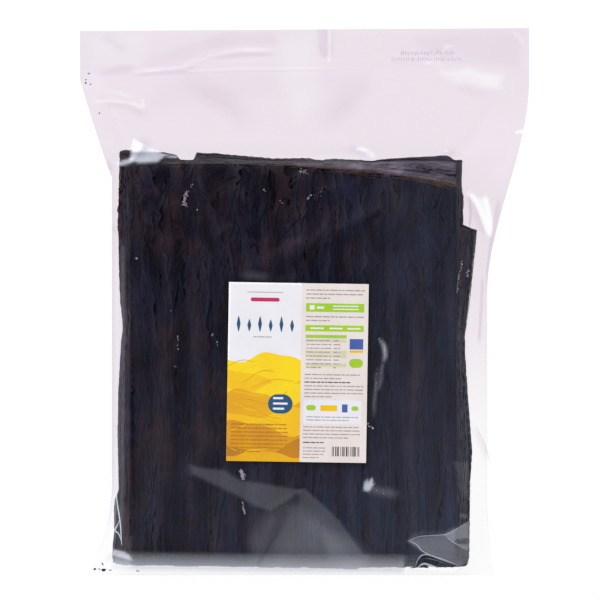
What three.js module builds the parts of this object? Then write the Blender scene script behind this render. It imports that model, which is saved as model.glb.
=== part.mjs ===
// A sealed clear bag packed tight with layered, pressed dried seaweed, with a paper label on
// its front. The pack lies on its back with the label up.
//
// Millimetres, +Z up. +X runs across the bag, +Y runs from the bottom crimp to the header, and
// the origin is the middle of the pack's outline on the surface that it lies on. The bag is one
// closed solid out to its film. Each cross-section has an upper and a lower ply that meet in a
// crease at either side, and every line along the bag is a function of y.

import * as THREE from "three";
import { mergeVertices } from "three/addons/utils/BufferGeometryUtils.js";

const { clamp, degToRad, lerp, smoothstep } = THREE.MathUtils;

// Overall size.
const HALF_WIDTH = 202; // half of the bag's flat width, reached in the header
const HALF_LENGTH = 246; // half of the way from the bottom crimp to the header's edge
const FACE_HEIGHT = 57; // front of the pressed block above the table, before its ridges
const EDGE_PLY = 0.8; // half of the thickness of the film's doubled edge

// Side creases, as distances from the middle.
const BODY_LEFT = 173; // film beside the block, left
const BODY_RIGHT = 164; // film beside the block at its narrowest, right
const LEFT_FLARE = [112, 205]; // y where the left crease leaves the block and where it is full
const LEFT_FLARE_POWER = 0.88; // under 1 bows the flare outwards
const RIGHT_FLARE = [5, 200]; // the same two places on the right, an even S-curve
const EAR_LENGTH = 86; // length of the folded ear at each bottom corner
const EAR_POWER = 2.2; // how late the ear turns out
const LEFT_EAR = 23; // how far the left ear reaches out
const RIGHT_EAR = 6; // the same on the right

// Front face and base of the block under the film, as distances from the middle.
const FACE_LEFT = 156;
const FACE_RIGHT = 136;
const BASE_LEFT = 160;
const BASE_RIGHT = 142;
const HEADER_FACE = 186; // where both plies turn down to the creases at the seal

// Heights along the bag.
const CREASE_HEIGHT = 27; // side creases beside the block
const CRIMP_HEIGHT = 20; // bottom crimp
const SEAL_HEIGHT = 11; // heat seal in the header
const LIP_HEIGHT = 6.5; // header's free edge, which hangs a little
const SEAL_Y = 211; // middle of the heat seal
const SEAL_WIDTH = 7; // across the seal's two embossed lines
const SEAL_EMBOSS = 0.35; // depth of the line between them
const SEAL_LINE = SEAL_WIDTH / 4; // half width of that line
const BLOCK_TOP = 131; // y of the block's upper edge
const TOP_ROUND = 14; // length over which the upper edge is rounded
const TOP_ROUND_DEPTH = TOP_ROUND / 4; // how far the rounding goes below the sharp edge
const SINK_START = BODY_RIGHT / 2; // y from which the creases sink towards the seal
const BOTTOM_ROUND = 26; // the same at the bottom crimp
const BASE_ROUND = 12; // the same under the crimp
const WEDGE_BULGE = 0.35; // how much the header's upper ply bellies out, from 0 to 1

// Slant of the seal and of the header's free edge, in y for each unit of x.
const SEAL_SLANT = 0.0135;
const EDGE_SLANT = 0.0067;

// How hollow the film hangs between the block and the creases: 0 is a round, 1 is hollow.
const HOLLOW_LEFT = 0.05;
const HOLLOW_RIGHT = 0.4;
const HOLLOW_NECK = 0.75;
const HOLLOW_EAR = 0.95;

// Pressed fronds, which run along the bag: wavelength across it, height, drift in x for each
// unit of y, and phase.
const FROND_WAVES = [
  { length: 47, height: 1.1, drift: 0.05, phase: 0.6 },
  { length: 29, height: 0.9, drift: -0.04, phase: 2.1 },
  { length: 18, height: 0.55, drift: 0.1, phase: 4.4 },
];
const FROND_SWELL = { length: 173, share: 0.35, phase: 1.2 }; // slow rise and fall along y

// Folds that stand up from the fronds: both ends, height and half width.
const FOLDS = [
  { from: [-44, 27], to: [72, 81], height: 2.6, width: 9 },
  { from: [-128, 118], to: [-60, 92], height: 3.0, width: 9 },
  { from: [-122, 84], to: [-84, 58], height: 2.4, width: 8 },
  { from: [-30, 112], to: [36, 96], height: 2.4, width: 9 },
  { from: [64, 58], to: [122, 96], height: 2.2, width: 10 },
  { from: [96, -176], to: [112, 22], height: 2.2, width: 8 },
  { from: [-132, -188], to: [-112, -20], height: 2.0, width: 9 },
];

// The front layer stops short of the block's upper edge and shows the one below it.
const LAYER_STEP = 5; // drop from the front layer to the one below
const LAYER_EDGE_LEFT = 124; // y of the front layer's edge at the left face edge
const LAYER_EDGE_RIGHT = 100; // the same at the right face edge
const LAYER_EDGE_POWER = 3; // how late the edge falls away towards the right
const LAYER_EDGE_SOFTNESS = 9; // length over which it drops

// Waves of the unfilled header: wavelength across the bag, height and phase.
const HEADER_WAVES = [
  { length: 236, height: 1.5, phase: 0.9 },
  { length: 97, height: 0.8, phase: 2.7 },
];
const HEADER_WAVE_START = 180; // y from which the waves build up to the free edge

// Paper label, a shade clockwise on the front.
const LABEL_WIDTH = 125.5;
const LABEL_HEIGHT = 160.5;
const LABEL_THICKNESS = 0.5;
const LABEL_CLEARANCE = 0.35; // gap between the label and the film
const LABEL_CENTRE = new THREE.Vector2(-6.3, -63.7);
const LABEL_TURN = degToRad(-0.9);
const LABEL_CALM = 0.25; // share of the frond relief that shows under the label
const LABEL_CALM_EDGE = 14; // width of the border over which the relief comes back

// Stretches where the front slopes down to the right of a path, towards the bottom crimp: the
// path's corners, the slope's width and drop, and the share of the path over which it fades in.
const SLOPES = [
  {
    path: [[-104, -147], [-62, -154], [-38, -164], [-2, -170]],
    width: 17,
    drop: 1.5,
    fade: 0.25,
  },
  {
    path: [[-14, -164], [-2, -169], [18, -185], [38, -208], [60, -229]],
    width: 44,
    drop: 3.4,
    fade: 0.12,
  },
];

// Rings of the loft: a zone of y and the number of steps in it.
const RING_ZONES = [
  { from: -HALF_LENGTH, to: -HALF_LENGTH + BOTTOM_ROUND, steps: 8 },
  { from: -HALF_LENGTH + BOTTOM_ROUND, to: BLOCK_TOP - TOP_ROUND, steps: 31 },
  { from: BLOCK_TOP - TOP_ROUND, to: BLOCK_TOP + TOP_ROUND, steps: 5 },
  { from: BLOCK_TOP + TOP_ROUND, to: SEAL_Y - SEAL_WIDTH, steps: 6 },
  { from: SEAL_Y - SEAL_WIDTH, to: SEAL_Y + SEAL_WIDTH, steps: 4 },
  { from: SEAL_Y + SEAL_WIDTH, to: HALF_LENGTH, steps: 4 },
];
const SHOULDER_STEPS = 6; // points of a ply between a crease and the face or base
const FACE_STEPS = 54; // points across the front face
const BASE_STEPS = 10; // points across the base

const LABEL_COLUMNS = 12;
const LABEL_ROWS = 16;

// Share of the way, from 0 to 1, that y has gone from start to end.
function progress(y, start, end) {
  return clamp((y - start) / (end - start), 0, 1);
}

// Rise of a round shoulder from its foot at 0 to its level top at 1.
function roundRise(share) {
  return Math.sqrt(1 - (1 - share) ** 2);
}

// How far the corner ear has turned out at y, from 0 to 1.
function earShare(y) {
  return progress(y, EAR_LENGTH - HALF_LENGTH, -HALF_LENGTH) ** EAR_POWER;
}

// How far y is into the header, from 0 at the block's upper edge to 1 at the seal.
function headerShare(y) {
  return progress(y, BLOCK_TOP, SEAL_Y);
}

// Left and right creases of the film at y.
function creases(y) {
  const leftFlare = progress(y, ...LEFT_FLARE) ** LEFT_FLARE_POWER;
  const rightFlare = smoothstep(y, ...RIGHT_FLARE);
  return {
    left: -lerp(BODY_LEFT, HALF_WIDTH, leftFlare) - LEFT_EAR * earShare(y),
    right: lerp(BODY_RIGHT, HALF_WIDTH, rightFlare) + RIGHT_EAR * earShare(y),
  };
}

// Height of the creases, the seal and the header's edge at y.
function creaseHeight(y) {
  const beside = lerp(CREASE_HEIGHT, SEAL_HEIGHT, smoothstep(y, SINK_START, SEAL_Y));
  const lip = (SEAL_HEIGHT - LIP_HEIGHT) * progress(y, SEAL_Y, HALF_LENGTH);
  return beside - lip - (CREASE_HEIGHT - CRIMP_HEIGHT) * earShare(y);
}

// Rise of the front from the bottom crimp at y, from 0 to 1.
function bottomRise(y) {
  return roundRise(progress(y, -HALF_LENGTH, -HALF_LENGTH + BOTTOM_ROUND));
}

// Height of the upper ply over the middle of the bag at y, before its relief.
function topHeight(y) {
  const crease = creaseHeight(y);
  if (y < BLOCK_TOP) {
    return lerp(crease, FACE_HEIGHT, bottomRise(y)) - topRounding(y);
  }
  const rise = 1 - headerShare(y);
  const belly = lerp(rise, Math.sin((rise * Math.PI) / 2), WEDGE_BULGE);
  return lerp(crease, FACE_HEIGHT, belly) - topRounding(y);
}

// How far the rounding takes the ply below the sharp upper edge of the block.
function topRounding(y) {
  const reach = clamp(1 - Math.abs(y - BLOCK_TOP) / TOP_ROUND, 0, 1);
  return TOP_ROUND_DEPTH * reach ** 2;
}

// Height of the lower ply over the middle of the bag at y. It lies on the table under the block.
function baseHeight(y) {
  const crease = creaseHeight(y);
  const lifted = crease * smoothstep(y, BLOCK_TOP, SEAL_Y);
  const crimp = crease * (1 - roundRise(progress(y, -HALF_LENGTH, -HALF_LENGTH + BASE_ROUND)));
  return Math.max(lifted, crimp);
}

// Share of the height that a ply has gained at x, from its crease to its face or base edge.
function shoulderRise(x, crease, edge, hollow) {
  const share = clamp((x - crease) / (edge - crease), 0, 1);
  return lerp(roundRise(share), share ** 2, hollow);
}

// How hollow the film hangs at y beside a block whose side is hollow by the given share.
function hollowAt(y, beside) {
  const neck = lerp(beside, HOLLOW_NECK, smoothstep(y, BLOCK_TOP - TOP_ROUND, BLOCK_TOP + TOP_ROUND));
  return lerp(neck, HOLLOW_EAR, Math.sqrt(earShare(y)));
}

// Rise of a ply at x, from 0 at the creases to 1 over its face or base.
function plyRise(x, y, leftEdge, rightEdge) {
  const { left, right } = creases(y);
  if (x < 0) {
    return shoulderRise(x, left, leftEdge, hollowAt(y, HOLLOW_LEFT));
  }
  return shoulderRise(x, right, rightEdge, hollowAt(y, HOLLOW_RIGHT));
}

// Edges of the front face at y, which spread out in the header.
function faceEdges(y) {
  const spread = headerShare(y);
  return [-lerp(FACE_LEFT, HEADER_FACE, spread), lerp(FACE_RIGHT, HEADER_FACE, spread)];
}

// Edges of the base at y.
function baseEdges(y) {
  const spread = headerShare(y);
  return [-lerp(BASE_LEFT, HEADER_FACE, spread), lerp(BASE_RIGHT, HEADER_FACE, spread)];
}

// Nearest point of a path to a place: how far it lies, on which side of the path the place is,
// 1 for its left and -1 for its right, and the share of the path's length that is reached.
function nearestOnPath(path, place) {
  const corners = path.map((corner) => new THREE.Vector2(...corner));
  const nearest = { distance: Infinity, side: 1, share: 0 };
  let passed = 0;
  for (let step = 0; step + 1 < corners.length; step += 1) {
    const line = corners[step + 1].clone().sub(corners[step]);
    const length = line.length();
    const offset = place.clone().sub(corners[step]);
    const run = clamp(offset.dot(line.normalize()), 0, length);
    const distance = offset.distanceTo(line.clone().multiplyScalar(run));
    if (distance < nearest.distance) {
      nearest.distance = distance;
      nearest.side = line.cross(offset) < 0 ? -1 : 1;
      nearest.share = passed + run;
    }
    passed += length;
  }
  nearest.share /= passed;
  return nearest;
}

// Height of one fold at a place on the front.
function foldHeight(fold, place) {
  const { distance } = nearestOnPath([fold.from, fold.to], place);
  return fold.height * Math.exp(-((distance / fold.width) ** 2));
}

// How far one slope takes the front down at a place.
function slopeDrop(slope, place) {
  const { distance, side, share } = nearestOnPath(slope.path, place);
  const ends = smoothstep(Math.min(share, 1 - share), 0, slope.fade);
  return slope.drop * progress(-side * distance, 0, slope.width) * ends;
}

// 1 away from the label, falling to the calm share under it.
function labelCalm(x, y) {
  const middle = new THREE.Vector2();
  const place = new THREE.Vector2(x, y).sub(LABEL_CENTRE).rotateAround(middle, -LABEL_TURN);
  const outX = Math.abs(place.x) - LABEL_WIDTH / 2;
  const outY = Math.abs(place.y) - LABEL_HEIGHT / 2;
  return lerp(LABEL_CALM, 1, smoothstep(Math.max(outX, outY), 0, LABEL_CALM_EDGE));
}

// How much of the layer below shows at a place: 0 on the front layer, 1 past its edge.
function belowFrontLayer(x, y) {
  const across = progress(x, -FACE_LEFT, FACE_RIGHT) ** LAYER_EDGE_POWER;
  const edge = lerp(LAYER_EDGE_LEFT, LAYER_EDGE_RIGHT, across);
  return smoothstep(y, edge, edge + LAYER_EDGE_SOFTNESS);
}

// Height of a sine wave at a distance along its heading.
function waveHeight({ length, height, phase }, distance) {
  return height * Math.sin((2 * Math.PI * distance) / length + phase);
}

// Ridges of the fronds, which swell and fade along the bag.
function frondRidges(x, y) {
  const swell = 1 + FROND_SWELL.share * Math.sin((2 * Math.PI * y) / FROND_SWELL.length + FROND_SWELL.phase);
  return swell * FROND_WAVES.reduce((sum, wave) => sum + waveHeight(wave, x + wave.drift * y), 0);
}

// Relief of the pressed fronds on the front: ridges, folds and the front layer's edge, less what
// the front sinks where it slopes down. It ends at the bottom crimp and at the upper edge.
function frontRelief(x, y) {
  const place = new THREE.Vector2(x, y);
  const folds = FOLDS.reduce((sum, fold) => sum + foldHeight(fold, place), 0);
  const slopes = SLOPES.reduce((sum, slope) => sum + slopeDrop(slope, place), 0);
  const layers = frondRidges(x, y) + folds - LAYER_STEP * belowFrontLayer(x, y);
  const onBlock = 1 - smoothstep(y, BLOCK_TOP, BLOCK_TOP + TOP_ROUND);
  return (layers * labelCalm(x, y) * onBlock - slopes) * bottomRise(y);
}

// Waves of both plies together where the header is empty.
function headerWave(x, y) {
  const build = smoothstep(y, HEADER_WAVE_START, HALF_LENGTH);
  return build * HEADER_WAVES.reduce((sum, wave) => sum + waveHeight(wave, x), 0);
}

// Emboss of the heat seal, which pinches the two plies between its lines.
function sealEmboss(y) {
  return Math.abs(y - SEAL_Y) < SEAL_LINE ? SEAL_EMBOSS : 0;
}

// Height of the upper ply at a place.
function frontHeight(x, y) {
  const crease = creaseHeight(y);
  const rise = plyRise(x, y, ...faceEdges(y));
  const ply = lerp(crease, topHeight(y), rise) + EDGE_PLY - sealEmboss(y);
  return ply + frontRelief(x, y) * rise ** 2 + headerWave(x, y);
}

// Height of the lower ply at a place.
function backHeight(x, y) {
  const crease = creaseHeight(y);
  const rise = plyRise(x, y, ...baseEdges(y));
  const ply = lerp(crease - EDGE_PLY, baseHeight(y), rise) + sealEmboss(y);
  const lip = EDGE_PLY * rise * smoothstep(y, BLOCK_TOP, SEAL_Y);
  return Math.max(ply - lip + headerWave(x, y), 0);
}

// Places across a ply: close together on the shoulders and evenly spaced between the edges.
function plyPlaces(left, leftEdge, rightEdge, right, middleSteps) {
  const places = [];
  const shoulder = (step) => 1 - Math.cos((step / SHOULDER_STEPS) * (Math.PI / 2));
  for (let step = 0; step < SHOULDER_STEPS; step += 1) {
    places.push(lerp(left, leftEdge, shoulder(step)));
  }
  for (let step = 0; step <= middleSteps; step += 1) {
    places.push(lerp(leftEdge, rightEdge, step / middleSteps));
  }
  for (let step = SHOULDER_STEPS - 1; step >= 0; step -= 1) {
    places.push(lerp(right, rightEdge, shoulder(step)));
  }
  return places;
}

// One cross-section: left to right over the upper ply, then back along the lower one.
function bagRing(y) {
  const { left, right } = creases(y);
  const below = SEAL_SLANT * headerShare(y);
  const above = lerp(SEAL_SLANT, EDGE_SLANT, progress(y, SEAL_Y, HALF_LENGTH));
  const slanted = (x) => y - (y < SEAL_Y ? below : above) * (HALF_WIDTH - x);
  const front = plyPlaces(left, ...faceEdges(y), right, FACE_STEPS);
  const back = plyPlaces(left, ...baseEdges(y), right, BASE_STEPS).reverse();
  return [
    ...front.map((x) => new THREE.Vector3(x, slanted(x), frontHeight(x, y))),
    ...back.map((x) => new THREE.Vector3(x, slanted(x), backHeight(x, y))),
  ];
}

// Places along the bag at which a ring stands.
function ringPlaces() {
  const places = [RING_ZONES[0].from];
  for (const zone of RING_ZONES) {
    for (let step = 1; step <= zone.steps; step += 1) {
      places.push(lerp(zone.from, zone.to, step / zone.steps));
    }
  }
  return places;
}

// Triangles that close an end ring, all facing along +Y or all facing along -Y.
function capTriangles(ring, facesUp) {
  const contour = ring.map((point) => new THREE.Vector2(point.x, point.z));
  return THREE.ShapeUtils.triangulateShape(contour, []).map(([a, b, c]) => {
    const turn = THREE.ShapeUtils.area([contour[a], contour[b], contour[c]]);
    return turn > 0 === facesUp ? [a, c, b] : [a, b, c];
  });
}

// The bag as a closed loft through its rings.
function bagGeometry() {
  const rings = ringPlaces().map(bagRing);
  const size = rings[0].length;
  const index = [];
  for (let row = 0; row + 1 < rings.length; row += 1) {
    for (let point = 0; point < size; point += 1) {
      const next = (point + 1) % size;
      const a = row * size + point;
      const b = row * size + next;
      const c = a + size;
      const d = b + size;
      index.push(a, b, d, a, d, c);
    }
  }
  const lastRow = (rings.length - 1) * size;
  index.push(...capTriangles(rings[0], false).flat());
  index.push(...capTriangles(rings.at(-1), true).flat().map((point) => lastRow + point));
  const geometry = new THREE.BufferGeometry().setFromPoints(rings.flat());
  geometry.setIndex(index);
  geometry.computeVertexNormals();
  return geometry;
}

// The label as a thin sheet that follows the front of the bag.
function labelGeometry() {
  const size = [LABEL_WIDTH, LABEL_HEIGHT, LABEL_THICKNESS];
  const box = new THREE.BoxGeometry(...size, LABEL_COLUMNS, LABEL_ROWS, 1);
  box.deleteAttribute("normal");
  box.deleteAttribute("uv");
  const geometry = mergeVertices(box);
  geometry.rotateZ(LABEL_TURN);
  geometry.translate(LABEL_CENTRE.x, LABEL_CENTRE.y, LABEL_THICKNESS / 2 + LABEL_CLEARANCE);
  const position = geometry.attributes.position;
  for (let point = 0; point < position.count; point += 1) {
    const lift = frontHeight(position.getX(point), position.getY(point));
    position.setZ(point, position.getZ(point) + lift);
  }
  geometry.computeVertexNormals();
  return geometry;
}

function namedMesh(name, geometry, material) {
  const mesh = new THREE.Mesh(geometry, material);
  mesh.name = name;
  return mesh;
}

const filledBagMaterial = new THREE.MeshStandardMaterial({ color: 0x26232d, roughness: 0.3, metalness: 0 });
const labelMaterial = new THREE.MeshStandardMaterial({ color: 0xe9dfc4, roughness: 0.6, metalness: 0 });

const pack = new THREE.Group();
pack.add(namedMesh("sealed_bag", bagGeometry(), filledBagMaterial));

const frontOfPack = new THREE.Group();
frontOfPack.add(namedMesh("label", labelGeometry(), labelMaterial));
pack.add(frontOfPack);

export default pack;
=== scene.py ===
"""A clear bag of pressed, dried seaweed, dressed around its CAD frame.

The bag lies on its back: +X runs across it, +Y from the bottom crimp to the header, +Z up out of
the labelled front. Every size below is in millimetres and is turned into metres where a mesh is
made. The film, the pressed fronds and the label all take their heights from one BagForm.
"""

import logging
import math
from dataclasses import dataclass
from enum import Enum
from typing import Callable, Sequence

import bpy
import numpy as np
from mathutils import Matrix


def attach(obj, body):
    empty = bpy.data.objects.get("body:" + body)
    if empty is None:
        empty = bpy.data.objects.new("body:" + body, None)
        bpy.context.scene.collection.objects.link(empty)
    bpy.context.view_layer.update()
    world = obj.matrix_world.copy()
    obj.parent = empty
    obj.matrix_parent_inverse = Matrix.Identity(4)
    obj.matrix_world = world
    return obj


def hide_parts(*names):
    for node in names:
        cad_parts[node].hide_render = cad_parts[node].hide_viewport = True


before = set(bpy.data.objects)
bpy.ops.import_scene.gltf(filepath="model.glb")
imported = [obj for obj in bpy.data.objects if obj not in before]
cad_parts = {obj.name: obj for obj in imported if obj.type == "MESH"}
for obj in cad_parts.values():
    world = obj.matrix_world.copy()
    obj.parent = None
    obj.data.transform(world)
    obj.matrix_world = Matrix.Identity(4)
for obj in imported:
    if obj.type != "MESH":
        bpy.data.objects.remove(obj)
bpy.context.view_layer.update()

MM = 0.001
ROOT_BODY = "root"

Array = np.ndarray
Pair = tuple[float, float]
Pairs = tuple[Pair, ...]
Colour = tuple[float, float, float]
Screen = tuple[int, int, int]
Piece = bpy.types.Object
Node = bpy.types.Node
Socket = bpy.types.NodeSocket
Tree = bpy.types.NodeTree
WHITE: Colour = (1, 1, 1)

log = logging.getLogger("seaweed_pack")


# Small maths


def progress(value: Array, start: float, end: float) -> Array:
    """Returns the share of the way, 0 to 1, that value has gone from start to end."""
    return np.clip((value - start) / (end - start), 0, 1)


def ease(value: Array, start: float, end: float) -> Array:
    """Returns progress with a soft start and a soft end."""
    share = progress(value, start, end)
    return share * share * (3 - 2 * share)


def blend(low: Array, high: Array, share: Array) -> Array:
    """Returns the value that lies a share of the way from low to high."""
    return low + (high - low) * share


def round_rise(share: Array) -> Array:
    """Returns the rise of a round shoulder from its foot at 0 to its level top at 1."""
    return np.sqrt(np.maximum(0, 1 - (1 - share) ** 2))


def turned(x: Array, y: Array, angle: float) -> tuple[Array, Array]:
    """Returns places turned about the origin."""
    cos, sin = math.cos(angle), math.sin(angle)
    return x * cos - y * sin, x * sin + y * cos


def distance_to_path(x: Array, y: Array, path: Pairs) -> tuple[Array, Array, Array]:
    """Measures places against an open path.

    Args:
        x: Places across the bag.
        y: Places along the bag.
        path: Corner points of the path.

    Returns:
        The signed distance, positive to the path's left, the share of the path's length at the
        nearest point, and the plain distance.
    """
    points = np.asarray(path, float)
    lengths = np.hypot(*np.diff(points, axis=0).T)
    starts = np.concatenate([[0], np.cumsum(lengths)])
    nearest = np.full(np.shape(x), np.inf)
    signed = np.zeros(np.shape(x))
    along = np.zeros(np.shape(x))
    for number, length in enumerate(lengths):
        (x0, y0), (x1, y1) = points[number], points[number + 1]
        dx, dy = (x1 - x0) / length, (y1 - y0) / length
        run = np.clip((x - x0) * dx + (y - y0) * dy, 0, length)
        away_x, away_y = x - x0 - run * dx, y - y0 - run * dy
        distance = np.hypot(away_x, away_y)
        closer = distance < nearest
        side = np.where(dx * away_y - dy * away_x >= 0, 1, -1)
        nearest = np.where(closer, distance, nearest)
        signed = np.where(closer, side * distance, signed)
        along = np.where(closer, (starts[number] + run) / starts[-1], along)
    return signed, along, nearest


def smooth_path(path: Pairs, step: float) -> Array:
    """Returns points about a step apart on a smooth curve through the corners of a path."""
    corners = np.asarray(path, float)
    first, last = 2 * corners[0] - corners[1], 2 * corners[-1] - corners[-2]
    padded = np.concatenate([[first], corners, [last]])
    parts = []
    for before, start, end, after in zip(padded, padded[1:], padded[2:], padded[3:]):
        count = max(2, math.ceil(float(np.hypot(*(end - start))) / step))
        share = (np.arange(count) / count)[:, None]
        bow = (2 * before - 5 * start + 4 * end - after) * share**2
        swing = (3 * (start - end) + after - before) * share**3
        parts.append(start + 0.5 * ((end - before) * share + bow + swing))
    return np.concatenate([*parts, corners[-1:]])


@dataclass(frozen=True)
class Stroke:
    """An amount along a path that fades over a width on each side and towards both ends."""

    path: Pairs
    amount: float
    left: float
    right: float
    fade: float = 0.3
    sharpness: float = 1.4

    def at(self, x: Array, y: Array) -> Array:
        """Returns the amount at each place."""
        signed, along, distance = distance_to_path(x, y, self.path)
        width = np.where(signed > 0, self.left, self.right)
        tent = np.clip(1 - distance / width, 0, 1) ** self.sharpness
        return self.amount * tent * ease(np.minimum(along, 1 - along), 0, self.fade)


@dataclass(frozen=True)
class Patch:
    """An amount inside an outline, with a soft edge of the given width."""

    outline: Pairs
    amount: float
    soft: float = 2.0

    def at(self, x: Array, y: Array) -> Array:
        """Returns the amount at each place."""
        inside = np.zeros(np.shape(x), bool)
        for (x0, y0), (x1, y1) in zip(self.outline, (*self.outline[1:], self.outline[0])):
            crosses = (y0 > y) != (y1 > y)
            inside ^= crosses & (x < x0 + (x1 - x0) * (y - y0) / ((y1 - y0) or 1e-9))
        _, _, distance = distance_to_path(x, y, (*self.outline, self.outline[0]))
        return self.amount * ease(np.where(inside, distance, -distance), -self.soft / 2, self.soft / 2)


def layered(parts: Sequence[Stroke | Patch], x: Array, y: Array) -> Array:
    """Returns the sum of what strokes and patches amount to at each place."""
    return sum(part.at(x, y) for part in parts)


@dataclass(frozen=True)
class Ripple:
    """A field of soft random waves, the same for the same seed."""

    seed: int
    shortest: float
    longest: float
    count: int = 12
    lean: float = math.pi

    def at(self, x: Array, y: Array) -> Array:
        """Returns the height of the waves, about -1 to 1.

        Args:
            x: Places across the bag.
            y: Places along the bag.

        Returns:
            One height for each place.
        """
        rng = np.random.default_rng(self.seed)
        total = np.zeros(np.shape(x))
        for _ in range(self.count):
            length = math.exp(rng.uniform(math.log(self.shortest), math.log(self.longest)))
            heading = rng.uniform(-self.lean, self.lean)
            phase = rng.uniform(0, math.tau)
            across = x * math.cos(heading) + y * math.sin(heading)
            total = total + np.sin(math.tau * across / length + phase)
        return total / math.sqrt(self.count)


# Form of the filled bag


@dataclass(frozen=True)
class FrondWave:
    """One wave of the pressed fronds: wavelength, height, drift in x for each unit of y, phase."""

    length: float
    height: float
    drift: float
    phase: float


@dataclass(frozen=True)
class Fold:
    """A fold that stands up from the fronds, between two ends."""

    start: Pair
    end: Pair
    height: float
    width: float


@dataclass(frozen=True)
class Slope:
    """A stretch where the pack's front slopes down to one side of a path, the path's right."""

    path: Pairs
    width: float
    drop: float
    fade: float = 0.2


@dataclass(frozen=True)
class BagForm:
    """Outline and heights of the filled bag, as in its solid but for the front layer's right edge."""

    half_width: float = 202.0
    half_length: float = 246.0
    face_height: float = 57.0
    edge_ply: float = 0.15
    body_left: float = 173.0
    body_right: float = 164.0
    left_flare: Pair = (112.0, 205.0)
    left_flare_power: float = 0.88
    right_flare: Pair = (5.0, 200.0)
    ear_length: float = 86.0
    ear_power: float = 2.2
    left_ear: float = 23.0
    right_ear: float = 6.0
    face_left: float = 156.0
    face_right: float = 136.0
    base_left: float = 160.0
    base_right: float = 142.0
    header_face: float = 186.0
    crease_level: float = 27.0
    crimp_level: float = 20.0
    seal_level: float = 11.0
    lip_level: float = 6.5
    seal_y: float = 211.0
    block_top: float = 131.0
    top_round: float = 14.0
    bottom_round: float = 26.0
    base_round: float = 12.0
    wedge_bulge: float = 0.35
    seal_slant: float = 0.0135
    edge_slant: float = 0.0067
    hollow_left: float = 0.05
    hollow_right: float = 0.4
    hollow_neck: float = 0.75
    hollow_ear: float = 0.95
    frond_waves: tuple[FrondWave, ...] = (
        FrondWave(47, 1.1, 0.05, 0.6),
        FrondWave(29, 0.9, -0.04, 2.1),
        FrondWave(18, 0.55, 0.1, 4.4),
    )
    swell_length: float = 173.0
    swell_share: float = 0.35
    swell_phase: float = 1.2
    folds: tuple[Fold, ...] = (
        Fold((-44, 27), (72, 81), 2.6, 9),
        Fold((-128, 118), (-60, 92), 3, 9),
        Fold((-122, 84), (-84, 58), 2.4, 8),
        Fold((-30, 112), (36, 96), 2.4, 9),
        Fold((64, 58), (122, 96), 2.2, 10),
        Fold((96, -176), (112, 22), 2.2, 8),
        Fold((-132, -188), (-112, -20), 2, 9),
    )
    layer_step: float = 5.0
    layer_edge_left: float = 124.0
    layer_edge_right: float = 103.0
    layer_edge_power: float = 3.0
    layer_edge_softness: float = 9.0
    header_waves: tuple[tuple[float, float, float], ...] = ((236.0, 1.5, 0.9), (97.0, 0.8, 2.7))
    header_wave_start: float = 180.0
    label_size: Pair = (125.5, 160.5)
    label_centre: Pair = (-6.3, -63.7)
    label_turn: float = math.radians(-0.9)
    label_calm: float = 0.25
    label_calm_edge: float = 14.0
    slopes: tuple[Slope, ...] = (
        Slope(((-104, -147), (-62, -154), (-38, -164), (-2, -170)), 17, 1.5, 0.25),
        Slope(((-14, -164), (-2, -169), (18, -185), (38, -208), (60, -229)), 44, 3.4, 0.12),
    )
    film_share: float = 0.1
    film_lift: float = 2.6

    def ear(self, y: Array) -> Array:
        """Returns how far the corner ear has turned out at y, 0 to 1."""
        return progress(y, self.ear_length - self.half_length, -self.half_length) ** self.ear_power

    def header(self, y: Array) -> Array:
        """Returns how far y is into the header, 0 at the block's edge to 1 at the seal."""
        return progress(y, self.block_top, self.seal_y)

    def left_crease(self, y: Array) -> Array:
        """Returns x of the left crease at y."""
        flare = progress(y, *self.left_flare) ** self.left_flare_power
        return -blend(self.body_left, self.half_width, flare) - self.left_ear * self.ear(y)

    def right_crease(self, y: Array) -> Array:
        """Returns x of the right crease at y."""
        flare = ease(y, *self.right_flare)
        return blend(self.body_right, self.half_width, flare) + self.right_ear * self.ear(y)

    def crease_height(self, y: Array) -> Array:
        """Returns the height of the creases, the seal and the header's edge at y."""
        beside = blend(self.crease_level, self.seal_level, ease(y, self.body_right / 2, self.seal_y))
        lip = (self.seal_level - self.lip_level) * progress(y, self.seal_y, self.half_length)
        return beside - lip - (self.crease_level - self.crimp_level) * self.ear(y)

    def top_height(self, y: Array) -> Array:
        """Returns the height of the upper ply over the middle of the bag, before its relief."""
        crease = self.crease_height(y)
        bottom_end = self.bottom_round - self.half_length
        on_block = blend(crease, self.face_height, round_rise(progress(y, -self.half_length, bottom_end)))
        rise = 1 - self.header(y)
        belly = blend(rise, np.sin(rise * math.pi / 2), self.wedge_bulge)
        over_header = blend(crease, self.face_height, belly)
        reach = np.clip(1 - np.abs(y - self.block_top) / self.top_round, 0, 1)
        rounding = self.top_round / 4 * reach**2
        return np.where(y < self.block_top, on_block, over_header) - rounding

    def base_height(self, y: Array) -> Array:
        """Returns the height of the lower ply over the middle of the bag."""
        crease = self.crease_height(y)
        crimp_end = self.base_round - self.half_length
        lifted = crease * ease(y, self.block_top, self.seal_y)
        crimp = crease * (1 - round_rise(progress(y, -self.half_length, crimp_end)))
        return np.maximum(lifted, crimp)

    def hollow(self, y: Array, beside: Array) -> Array:
        """Returns how hollow the film hangs at y next to a side of the given hollowness."""
        neck_start, neck_end = self.block_top - self.top_round, self.block_top + self.top_round
        neck = blend(beside, self.hollow_neck, ease(y, neck_start, neck_end))
        return blend(neck, self.hollow_ear, np.sqrt(self.ear(y)))

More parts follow.
